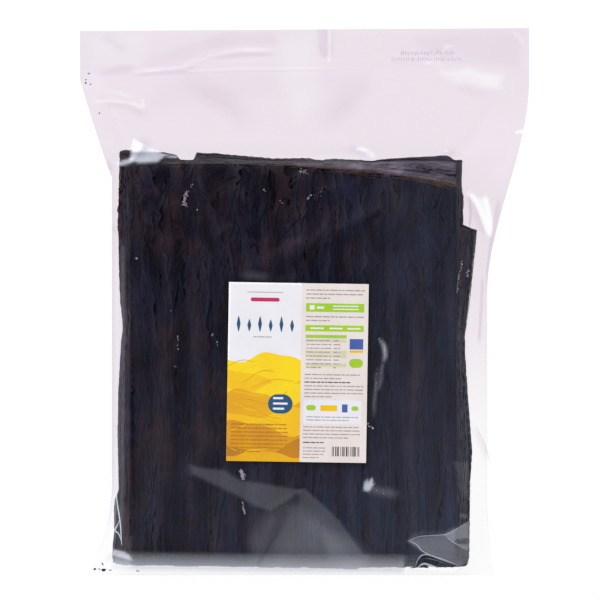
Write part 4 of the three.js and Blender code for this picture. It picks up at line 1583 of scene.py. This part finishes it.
@dataclass
class SeaweedContents:
    """The pressed seaweed in the bag: a core and the fronds that cover it."""

    block: PressedBlock
    core_step: float = 3.0
    core_depth: float = 4.5
    core_side_depth: float = 0.9
    kinds: tuple[FrondKind, ...] = (
        FrondKind(FrondCut.BLADE, 440, 11, 42, 6, (8, 20), (70, 230), (0, 2.2), 0.05, 0.09, 0.45, 0.25),
        FrondKind(FrondCut.STRIP, 400, 23, 48, 5, (2.6, 7), (60, 240), (0.1, 2.2), 0.06, 0.12, 0.3, 0.2),
        FrondKind(FrondCut.BAND, 230, 31, 40, 4, (2, 7), (30, 130), (0, 1.6), 0.04, 0.08, 0.25, 0.2),
        FrondKind(FrondCut.THREAD, 380, 37, 50, 4, (0.8, 1.8), (40, 170), (0.1, 1.3), 0.08, 0.16, 0.12, 0.1),
        FrondKind(FrondCut.BASE, 330, 53, 26, 4, (7, 18), (70, 230), (-1.2, 0.6), 0.08, 0.1, 0.2, 0.15),
    )
    rim: FrondKind = FrondKind(
        FrondCut.RIM, 64, 61, 40, 3, (0.5, 1.2), (16, 70), (-0.2, 0.5), 0.05, 0.05, 0.2, 0.2
    )

    def build_core(self) -> Piece:
        """Builds the dark core under the fronds, darkened further by painted shade.

        Returns:
            The core, a closed sheet with a flat underside.
        """
        block, form = self.block, self.block.form
        side = block.side_length
        u_line = np.arange(-form.face_left - side, form.face_right + side + self.core_step, self.core_step)
        v_line = np.arange(block.face_bottom - side, block.face_top + side + self.core_step, self.core_step)
        u, v = np.meshgrid(u_line, v_line)
        x, y, away_u, away_v = block.past_face(u, v)
        limited = [np.clip(away, -side, side) for away in (away_u, away_v)]
        away_u, away_v = round_corner(*limited, side)
        u, v = x + away_u, y + away_v
        rough = Ripple(71, 5, 26, 16).at(u, v * 0.35)
        turned = ease(np.hypot(away_u, away_v), 0, block.turn_length)
        depth = blend(self.core_depth, self.core_side_depth, turned)
        top = block.place(u, v, -depth * (1 + 0.25 * rough))
        bottom = top.copy()
        bottom[..., 2] = form.back(top[..., 0], top[..., 1]) + block.floor_gap / 2
        points, quads = closed_sheet(top, bottom)
        piece = make_mesh("seaweed_core", points, quads)
        # The core takes 0.6 of the fronds' tone and warmth and 0.8 of their ash: painted shade in the gaps
        # between the fronds.
        for name, shade in zip(("tone", "warmth"), Shades().at(u, v)):
            paint_points(piece, name, np.tile(np.clip(0.6 * shade, 0, 1).ravel(), 2))
        paint_points(piece, "ash", np.tile(0.8 * ash_and_painted_side_sheen_at(form, u, v).ravel(), 2))
        grain = np.stack([u, v, np.zeros(u.shape)], axis=-1).reshape(-1, 3) * MM
        paint_points(piece, "grain", np.tile(grain, (2, 1)))
        return piece

    def build(self) -> list[Piece]:
        """Builds the core and the fronds.

        Returns:
            The pieces, with the amber rim threads last.
        """
        beds = [FrondBed(self.block, kind).build() for kind in (*self.kinds, self.rim)]
        return [self.build_core(), *beds]

    def dress(self, pieces: Sequence[Piece], effects: Effects) -> None:
        """Gives the seaweed its finishes and its place in the pack."""
        dark = FrondFinish("dried_frond").material(effects)
        amber = FrondFinish("amber_rim", (0.035, 0.02, 0.012), (0.14, 0.088, 0.048)).material(effects)
        for piece in pieces:
            mount(piece, amber if piece is pieces[-1] else dark, "dried_seaweed", "sealed_bag")


# Loose flakes: crumbs in the empty parts of the bag, and pale specks on the fronds


@dataclass(frozen=True)
class Flake:
    """One small flake: its place, length, width and heading in degrees."""

    x: float
    y: float
    length: float
    width: float
    heading: float


@dataclass(frozen=True)
class Dust:
    """Specks along a path: how many, how far they stray and how long they are."""

    path: Pairs
    count: int
    spread: float
    length: Pair

    def flakes(self, rng: np.random.Generator) -> list[Flake]:
        """Returns the specks as flakes."""
        line = smooth_path(self.path, 0.5)
        places = line[rng.integers(0, len(line), self.count)]
        places = places + rng.normal(0, self.spread / 2, (self.count, 2))
        lengths = rng.uniform(*self.length, self.count)
        turns = rng.uniform(0, 180, self.count)
        return [Flake(x, y, size, 0.6 * size, turn) for (x, y), size, turn in zip(places, lengths, turns)]


@dataclass
class Flakes:
    """A scatter of small uneven flakes, as one piece."""

    name: str
    form: BagForm
    flakes: Sequence[Flake]
    on_front: bool
    seed: int
    steps: int = 5
    thickness: float = 0.5
    film_gap: float = 0.15

    def heights(self, x: Array, y: Array) -> tuple[Array, Array]:
        """Returns the lowest and highest place that a flake may fill at (x, y)."""
        high = self.form.film(x, y) - self.film_gap
        low = high - self.thickness if self.on_front else self.form.back(x, y) + self.film_gap
        return low, np.maximum(high, low + self.film_gap)

    def build(self) -> Piece:
        """Builds all the flakes as one mesh of closed pieces.

        Returns:
            The piece.
        """
        rng = np.random.default_rng(self.seed)
        line = np.linspace(-1, 1, self.steps)
        square_u, square_v = np.meshgrid(line, line)
        disc_u, disc_v = round_corner(square_u, square_v, 1)
        radius, angle = np.hypot(disc_u, disc_v), np.arctan2(disc_v, disc_u)
        dome = np.sqrt(np.clip(1 - radius**2, 0, 1))
        points, quads, count = [], [], 0
        for flake in self.flakes:
            lobes = rng.uniform(0, math.tau, 3)
            waves = (0.22 / n * np.sin((n + 1) * angle + start) for n, start in enumerate(lobes, 1))
            ragged = 1 + sum(waves)
            away_u, away_v = disc_u * ragged * flake.length / 2, disc_v * ragged * flake.width / 2
            away_x, away_y = turned(away_u, away_v, math.radians(flake.heading))
            x, y = flake.x + away_x, flake.y + away_y
            low, high = self.heights(x, y)
            middle = low + 0.3 * np.minimum(self.thickness, high - low)
            swell = (0.12 + 0.88 * dome) * rng.uniform(0.6, 1, x.shape)
            top = np.minimum(middle + self.thickness * swell, high)
            bottom = np.maximum(middle - 0.3 * self.thickness * swell, low)
            sides = (np.stack([x, y, height], axis=-1) for height in (top, bottom))
            sheet, faces = closed_sheet(*sides, count)
            points.append(sheet)
            quads.append(faces)
            count += len(sheet)
        return make_mesh(self.name, np.concatenate(points), np.concatenate(quads))


@dataclass
class LooseBits:
    """The crumbs of seaweed beside the block and the pale specks on it."""

    form: BagForm
    crumbs: tuple[Flake, ...] = (
        Flake(-194, 205, 1.7, 1.1, 30),
        Flake(-196.6, 199.5, 1.5, 1, 80),
        Flake(-196.8, 196.6, 2.1, 1.3, 20),
        Flake(-192.6, 195.3, 1.6, 1.1, -20),
        Flake(-184.6, 169.4, 1.6, 1.1, 0),
        Flake(-188.6, -240.6, 3.2, 1.5, 10),
        Flake(-184.4, -240.6, 2.4, 0.9, 0),
        Flake(-181.6, -236, 3, 1.1, -50),
        Flake(-180.6, -241.4, 5, 2.2, 5),
        Flake(-174.6, -241.6, 3.2, 0.8, 0),
        Flake(-150, -242.4, 3, 1, 8),
    )
    pale_specks: tuple[Dust, ...] = (
        Dust(((-105, 99), (-107, 94), (-108, 88), (-104.5, 85.5)), 90, 1.7, (0.5, 1.5)),
        Dust(((-102, 103.5), (-100, 104.5)), 5, 0.8, (0.5, 1.1)),
        Dust(((-96.4, 82.5), (-96, 81.5)), 3, 0.5, (0.8, 1.5)),
        Dust(((-151, 39.5), (-150, 38.5)), 4, 0.6, (0.7, 1.4)),
        Dust(((-115.5, -56), (-116, -60)), 4, 0.7, (0.5, 1.2)),
        Dust(((-114, -28), (-113, -44)), 14, 0.7, (0.5, 1.5)),
        Dust(((-120, -8), (-120, -10.5)), 3, 0.5, (0.5, 1.2)),
        Dust(((-83, -28), (-82, -33)), 6, 0.6, (0.5, 1.2)),
        Dust(((-78.5, -36), (-78, -40)), 5, 0.5, (0.5, 1.1)),
        Dust(((67, -33), (71.6, -41), (72.4, -48), (70.6, -55)), 26, 1.2, (0.3, 0.9)),
        Dust(((70, -57), (68.4, -72), (66, -81)), 14, 0.9, (0.3, 0.8)),
        Dust(((65, -58), (64.2, -74), (62.6, -92)), 18, 0.9, (0.3, 0.8)),
        Dust(((57, -110), (62, -114)), 14, 1, (0.5, 1.5)),
        Dust(((-57, -151.5), (-54.5, -159)), 70, 1.7, (0.5, 1.5)),
        Dust(((-55.5, -180), (-54, -190)), 34, 0.9, (0.4, 1.2)),
        Dust(((54.6, -167), (58, -165), (60.6, -160)), 44, 2, (0.4, 1.3)),
        Dust(((62, -168), (72, -171)), 16, 2.4, (0.3, 0.7)),
        Dust(((142, 36), (138.5, 22), (137, 8)), 60, 0.6, (0.4, 1.1)),
        Dust(((147, 28), (146, 22)), 18, 1.6, (0.5, 1.5)),
        Dust(((-4, 117), (2, 116)), 44, 2.2, (0.4, 1.2)),
        Dust(((2.5, 92), (5, 95)), 9, 1, (0.6, 1.6)),
        Dust(((-36.5, 101), (-35, 98.5)), 5, 0.8, (0.5, 1.2)),
        Dust(((-22, 92), (-20, 88)), 5, 0.8, (0.5, 1)),
        Dust(((20, 105), (14, 98), (6, 94)), 24, 3, (0.3, 0.6)),
    )

    def build(self) -> list[Piece]:
        """Builds the crumbs and the pale specks.

        Returns:
            The two pieces.
        """
        rng = np.random.default_rng(67)
        specks = [flake for dust in self.pale_specks for flake in dust.flakes(rng)]
        crumbs = Flakes("seaweed_crumbs", self.form, self.crumbs, False, 83, thickness=0.9)
        pale_specks = Flakes("salt_flakes", self.form, specks, True, 97, thickness=0.3)
        return [crumbs.build(), pale_specks.build()]

    def dress(self, pieces: Sequence[Piece], effects: Effects) -> None:
        """Gives both pieces their finish and their place in the pack."""
        crumbs, pale_specks = pieces
        paint_points(crumbs, "tone", np.full(len(crumbs.data.vertices), 0.6))
        mount(crumbs, FrondFinish("crumb_frond").material(effects), "dried_seaweed", "sealed_bag")
        pale = PaperFinish("dried_salt", (190, 190, 200), (150, 146, 158), 0.75)
        mount(pale_specks, pale.material(effects), "dried_seaweed", "sealed_bag")


# The label


class Ink(Enum):
    """Inks on the label, each with its screen colour and a slightly darker shade of it."""

    WHITE = ((236, 236, 240), (231, 231, 236))
    BEIGE = ((236, 227, 223), (229, 219, 214))
    MAGENTA = ((190, 44, 96), (178, 40, 90))
    NAVY = ((32, 84, 124), (26, 72, 110))
    GREY = ((172, 162, 166), (160, 150, 154))
    CHARCOAL = ((74, 66, 72), (64, 58, 64))
    GREEN = ((166, 208, 40), (156, 200, 36))
    PALE_GREEN = ((218, 214, 178), (210, 206, 168))
    LEMON = ((249, 216, 14), (247, 206, 6))
    GOLD = ((244, 196, 2), (240, 184, 2))
    DEEP_GOLD = ((234, 176, 2), (226, 162, 2))
    ORANGE = ((222, 156, 2), (210, 142, 4))
    BROWN = ((196, 130, 10), (180, 118, 12))
    BLUE = ((70, 98, 174), (60, 88, 164))

    @property
    def piece_name(self) -> str:
        """Returns the name of the piece that carries this ink."""
        return f"label_ink_{self.name.lower()}"


Curve = Callable[[Array], Array]


@dataclass(frozen=True)
class InkField:
    """A printed field between two curves, over a stretch across the label."""

    ink: Ink
    left: float
    right: float
    low: Curve
    high: Curve
    layer: int = 1
    step: float = 2.4


def level(height: float) -> Curve:
    """Returns a level curve."""
    return lambda x: np.full(np.shape(x), height)


def rolling(middle: float, swing: float, length: float, start: float) -> Curve:
    """Returns a gently rolling curve: a wave with a shorter one on it."""
    turn = math.tau / length
    return lambda x: middle + swing * (np.sin((x - start) * turn) + 0.3 * np.sin((x - start) * turn * 2.3))


def box(ink: Ink, left: float, right: float, low: float, high: float, layer: int = 2) -> InkField:
    """Returns a rectangle of ink."""
    return InkField(ink, left, right, level(low), level(high), layer)


def even(ink: Ink, x: float, y: float, half_x: float, half: Curve, layer: int) -> InkField:
    """Returns a field that is even about (x, y), with its half height by the distance from x."""
    low, high = (lambda place, way=way: y + way * half(np.abs(place - x)) for way in (-1, 1))
    return InkField(ink, x - half_x, x + half_x, low, high, layer, 0.4)


def pill(ink: Ink, x: float, y: float, half_x: float, half_y: float, layer: int = 3) -> InkField:
    """Returns a bar of ink with round ends."""

    def half(away: Array) -> Array:
        past = np.maximum(away - (half_x - half_y), 0) / half_y
        return half_y * np.sqrt(np.maximum(1 - past**2, 0.004))

    return even(ink, x, y, half_x, half, layer)


def leaf(ink: Ink, x: float, y: float, half_x: float, half_y: float, layer: int = 3) -> InkField:
    """Returns a tall pointed leaf of ink."""
    return even(ink, x, y, half_x, lambda away: half_y * np.maximum(1 - (away / half_x) ** 1.3, 0.02), layer)


def dashes(
    ink: Ink, left: float, right: float, top: float, pitch: float, rows: int, seed: int, layer: int = 4
) -> list[InkField]:
    """Returns rows of short plain dashes, as small print looks from a step away.

    Args:
        ink: Their ink.
        left: Where each row starts.
        right: Where each row ends at the latest.
        top: Height of the first row's middle.
        pitch: Distance between rows.
        rows: Number of rows.
        seed: Seed for the dashes' lengths.
        layer: Their layer.

    Returns:
        The dashes, one field each.
    """
    rng = np.random.default_rng(seed)
    fields, height, gap = [], pitch * 0.15, 0.8
    for row in range(rows):
        x, middle = left, top - pitch * row
        end = right - (right - left) * (rng.uniform(0.15, 0.6) if row == rows - 1 else 0)
        while x < end - 1.5:
            dash = min(rng.uniform(1.8, 7.5), end - x)
            fields.append(box(ink, x, x + dash, middle - height, middle + height, layer))
            x += dash + gap
    return fields


@dataclass
class LabelPrint:
    """A plain generic print: a white and a beige panel, golden hills and rows of dashes.

    A crest lists its ink and what rolling takes. Blocks, pills and rows list what box, pill and
    dashes take.
    """

    half_x: float
    half_y: float
    fold: float = 2.9
    margin: float = 0.05
    crests: tuple[tuple, ...] = (
        (Ink.LEMON, 13, 4.5, 70, -40),
        (Ink.GOLD, -4, 6, 96, -84),
        (Ink.LEMON, -13, 5, 88, -30),
        (Ink.DEEP_GOLD, -22, 6.5, 78, -66),
        (Ink.GOLD, -36, 5, 84, -20),
        (Ink.ORANGE, -50, 6, 92, -74),
        (Ink.BROWN, -66, 7, 100, -10),
        (Ink.DEEP_GOLD, -73, 3, 62, -48),
    )
    blocks: tuple[tuple, ...] = (
        (Ink.GREY, -46, -14, 71.3, 71.9),
        (Ink.GREEN, 6.8, 59, 54.7, 62.4),
        (Ink.GREEN, 6.4, 58.8, 37.2, 42.8),
        (Ink.WHITE, 10, 14.5, 56.6, 60.6, 4),
        (Ink.WHITE, 16.5, 23, 57.6, 59.6, 4),
        (Ink.GREEN, 6.8, 43.6, 31.2, 34.1),
        (Ink.BLUE, 46.4, 58.6, 21.4, 30.8),
        (Ink.GOLD, 46.4, 58.6, 18.4, 20.6),
        (Ink.WHITE, 5.8, 58, -45.8, -24.4),
        (Ink.GOLD, 21, 36, -34.2, -29, 4),
        (Ink.BLUE, 40.4, 45.4, -35.2, -28, 4),
    )
    pills: tuple[tuple, ...] = (
        (Ink.MAGENTA, -30, 65, 13, 1.7),
        (Ink.NAVY, -15, -28.4, 11, 8.6, 11),
        (Ink.GREEN, 52.4, 9, 6.2, 4),
        (Ink.GREEN, 12.6, -31.4, 4.4, 2.4, 4),
        (Ink.GREEN, 52, -31.6, 3.2, 2, 4),
    )
    badge_bars: Pairs = ((-12.5, -24.2), (-8.5, -29), (-11.5, -33.6))
    rows: tuple[tuple, ...] = (
        (Ink.GREY, -40, -19, 31.5, 2.6, 1, 3),
        (Ink.GREY, 6.8, 59.5, 74.2, 3.6, 3, 11),
        (Ink.GREY, 6.8, 59, 50.4, 3.5, 2, 13),
        (Ink.GREY, 7.6, 30, 28.9, 3.45, 8, 17),
        (Ink.GREY, 32, 38, 28.9, 3.45, 8, 19),
        (Ink.GREY, 6.4, 56, -1.6, 3.4, 2, 23),
        (Ink.CHARCOAL, 6.4, 56, -8.4, 3.4, 1, 29),
        (Ink.GREY, 6.4, 59, -11.8, 3.2, 4, 31),
        (Ink.GREY, 8.6, 56, -39.6, 2.8, 2, 37),
        (Ink.GREY, 5.8, 57, -48.6, 3.2, 4, 43),
        (Ink.CHARCOAL, 5.8, 42, -62.6, 3.2, 1, 47),
        (Ink.GREY, 5.8, 26, -67.4, 2.9, 4, 53),
        (Ink.BROWN, -59, -8, -47, 3.5, 8, 59, 13),
    )

    def hills(self) -> list[InkField]:
        """Returns the beige panel, and the golden hills with their grain on the white one."""
        left, right, foot = -self.half_x + self.margin, self.fold, -self.half_y + self.margin
        fields = [box(Ink.BEIGE, right, -left, foot, -foot, 1)]
        for number, (ink, *wave) in enumerate(self.crests):
            fields.append(InkField(ink, left, right, level(foot), rolling(*wave), 1 + number))
        for number in range(14):
            crest = rolling(6 - 5.6 * number, 4 + number % 3, 74 + 5 * (number % 4), -60 + 9 * number)
            ink = (Ink.DEEP_GOLD, Ink.LEMON, Ink.ORANGE)[number % 3]
            start = left + (7 * number) % 22
            end = min(start + 24 + (11 * number) % 19, right)
            fields.append(InkField(ink, start, end, crest, lambda x, c=crest: c(x) + 0.5, 9))
        return fields

    def repeats(self) -> list[InkField]:
        """Returns the title's plain leaves and the bars of the badge and of the table."""
        return [
            *(leaf(Ink.NAVY, -53.5 + 9.6 * n, 43 - 1.2 * (n % 2), 1.7, 7.2 - 1.6 * (n % 2)) for n in range(6)),
            *(box(Ink.WHITE, -21.5, end, y, y + 1.8, 12) for end, y in self.badge_bars),
            *(box(Ink.WHITE, 31, 54, y, y + 1, 4) for y in (59.6, 56.8)),
            *(box(Ink.WHITE, x, x + 12, 39.3, 40.7, 4) for x in (11, 28, 44)),
            *(box(Ink.PALE_GREEN, 6.8, 43.6, y, y + 3) for y in (27.4, 17, 13.6, 5.4)),
        ]

    def stripes(self) -> list[InkField]:
        """Returns a block of plain stripes of a few widths, which carries no code."""
        fields, x = [], 32
        while x < 56.6:
            stripe = len(fields)
            width = 0.45 + 0.3 * ((stripe * 5) % 4)
            fields.append(box(Ink.CHARCOAL, x, x + width, -74.6, -66, 4))
            x += width + 0.5 + 0.25 * ((stripe * 3) % 5)
        return fields

    def fields(self) -> list[InkField]:
        """Returns every printed field."""
        blocks, pills = [box(*row) for row in self.blocks], [pill(*row) for row in self.pills]
        print_rows = [dash for row in self.rows for dash in dashes(*row)]
        return [*self.hills(), *self.repeats(), *self.stripes(), *blocks, *pills, *print_rows]


@dataclass
class Label:
    """The paper label on the front, with its print."""

    form: BagForm
    clearance: float = 0.2
    thickness: float = 0.15
    step: float = 2.0
    ink_step: float = 2.4
    ink_lift: float = 0.04
    layer_lift: float = 0.012

    def surface(self, x: Array, y: Array, lift: float) -> Array:
        """Maps places in the label's own frame to points on it.

        Args:
            x: Places across the label.
            y: Places along the label.
            lift: Height above the film.

        Returns:
            Points with x, y, z in the last axis.
        """
        turned_x, turned_y = turned(x, y, self.form.label_turn)
        place_x, place_y = self.form.label_centre[0] + turned_x, self.form.label_centre[1] + turned_y
        return np.stack([place_x, place_y, self.form.film(place_x, place_y) + lift], axis=-1)

    def build_paper(self) -> Piece:
        """Builds the paper as a thin closed sheet.

        Returns:
            The paper.
        """
        half_x, half_y = self.form.label_size[0] / 2, self.form.label_size[1] / 2
        x_line = np.linspace(-half_x, half_x, int(2 * half_x / self.step) + 1)
        y_line = np.linspace(-half_y, half_y, int(2 * half_y / self.step) + 1)
        x, y = np.meshgrid(x_line, y_line)
        top = self.surface(x, y, self.clearance + self.thickness)
        return make_mesh("label_paper", *closed_sheet(top, self.surface(x, y, self.clearance)))

    def build_ink(self, ink: Ink, fields: Sequence[InkField]) -> Piece:
        """Builds every field of one ink as one piece.

        Args:
            ink: The ink.
            fields: Its fields.

        Returns:
            The piece, patches of ink that lie on the paper.
        """
        points, quads, count = [], [], 0
        for part in fields:
            columns = 2 * math.ceil((part.right - part.left) / part.step / 2) + 1
            x = np.linspace(part.left, part.right, columns)
            low = part.low(x)
            tall = np.maximum(part.high(x) - low, 0.02)
            rows = max(2, math.ceil(float(tall.max()) / self.ink_step) + 1)
            share = np.linspace(0, 1, rows)[:, None]
            grid_x = np.repeat(x[None], rows, axis=0)
            lift = self.clearance + self.thickness + self.ink_lift + self.layer_lift * part.layer
            points.append(self.surface(grid_x, low[None] + tall[None] * share, lift).reshape(-1, 3))
            quads.append(grid_quads(rows, columns, first=count))
            count += rows * columns
        return make_mesh(ink.piece_name, np.concatenate(points), np.concatenate(quads))

    def build(self) -> list[Piece]:
        """Builds the paper and its print.

        Returns:
            The paper and one piece for each ink.
        """
        fields = LabelPrint(self.form.label_size[0] / 2, self.form.label_size[1] / 2).fields()
        inks = (self.build_ink(ink, [part for part in fields if part.ink is ink]) for ink in Ink)
        return [self.build_paper(), *inks]

    def dress(self, pieces: Sequence[Piece], effects: Effects) -> None:
        """Gives paper and inks their finishes and their place in the pack."""
        paper, *inks = pieces
        plain = PaperFinish("label_paper", *Ink.WHITE.value)
        mount(paper, plain.material(effects), "label_paper", "label")
        for ink, piece in zip(Ink, inks):
            finish = PaperFinish(f"ink_{ink.name.lower()}", *ink.value)
            mount(piece, finish.material(effects), "label_paper")


# Studio


@dataclass
class Studio:
    """A white floor that glows, a pale cove with a dark cap, a soft lamp and a camera above."""

    frame_width: float = 540.0
    camera_height: float = 20000.0
    sensor: float = 36.0
    floor_size: float = 6.0
    floor_gap: float = 0.2
    sky: tuple[tuple[float, Colour], ...] = (
        (0, (0.045, 0.045, 0.075)),
        (0.25, (0.07, 0.07, 0.105)),
        (0.55, WHITE),
        (1, (0.95, 0.95, 0.95)),
    )
    camera_place: Pair = (-4.05, 1.35)
    cap_edge: float = 7.0
    cove_edge: float = 80.0
    bright_side: tuple[float, float, float] = (-0.28, 0.28, 0.0)
    lamp_turn: float = math.radians(315.0)
    lamp_tilt: float = math.radians(50.0)
    lamp_distance: float = 2.6
    lamp_size: float = 2.8
    lamp_radiance: float = 2.1

    def build_floor(self) -> Piece:
        """Builds the pale floor and returns it."""
        half = self.floor_size / 2 / MM
        corners = [(x * half, y * half, -self.floor_gap) for x, y in ((-1, -1), (1, -1), (1, 1), (-1, 1))]
        floor = make_mesh("floor", corners, [[0, 1, 2, 3]], smooth=False)
        floor.data.materials.append(FloorFinish().material())
        return floor

    def build_world(self) -> None:
        """Builds the cove: dark straight above, brightest halfway down."""
        world = bpy.data.worlds.new("studio")
        world.use_nodes = True
        shader = Shader(world.node_tree)
        direction = shader.add("TexCoord").outputs["Generated"]
        height = shader.add("SeparateXYZ", {0: direction}).outputs[2]
        off_vertical = shader.math("ARCCOSINE", height)
        ends = (math.radians(self.cap_edge), math.radians(self.cove_edge))
        ramp = shader.add("ValToRGB", {"Fac": shader.remap(off_vertical, *ends, 0.0, 1.0)})
        stops = ramp.color_ramp.elements
        for place, _ in self.sky[1:-1]:
            stops.new(place)
        for stop, (place, colour) in zip(stops, self.sky):
            stop.position, stop.color = place, rgba(colour)
        sides = {0: direction, 1: self.bright_side}
        toward = shader.add("VectorMath", sides, operation="DOT_PRODUCT")
        background = world.node_tree.nodes["Background"]
        shader.feed(background.inputs[0], ramp.outputs["Color"])
        shader.feed(background.inputs[1], shader.math("ADD", toward.outputs["Value"], 1.0))
        bpy.context.scene.world = world

    def build_lamp(self) -> None:
        """Adds the square soft lamp, turned to the pack."""
        data = bpy.data.lights.new("key_lamp", "AREA")
        data.shape, data.size = "SQUARE", self.lamp_size
        data.energy = math.pi * self.lamp_radiance * self.lamp_size**2
        lamp = place_object("key_lamp", data)
        away = self.lamp_distance * math.sin(self.lamp_tilt)
        sides = away * math.sin(self.lamp_turn), away * math.cos(self.lamp_turn)
        lamp.location = (*sides, self.lamp_distance * math.cos(self.lamp_tilt))
        lamp.rotation_euler = (-self.lamp_tilt, 0.0, -self.lamp_turn)

    def build_camera(self) -> None:
        """Adds the camera straight above the pack, framed as the photograph."""
        data = bpy.data.cameras.new("camera")
        data.sensor_width = self.sensor
        data.lens = self.sensor * self.camera_height / self.frame_width
        camera = place_object("camera", data)
        camera.location = [place * MM for place in (*self.camera_place, self.camera_height)]
        bpy.context.scene.camera = camera

    def build(self) -> None:
        """Builds the whole studio and sets plain colour management."""
        self.build_floor()
        self.build_world()
        self.build_lamp()
        self.build_camera()
        bpy.context.scene.view_settings.view_transform = "Standard"


def main() -> None:
    """Builds the pack, dresses it and sets the studio."""
    logging.basicConfig(level=logging.INFO, format="%(name)s: %(message)s")
    effects = Effects(fibre_streaks(), sheet_cockle())
    form = BagForm()
    for part in (SeaweedContents(PressedBlock(form)), LooseBits(form), Film(form), Label(form)):
        part.dress(part.build(), effects)
    Studio().build()


if __name__ == "__main__":
    main()
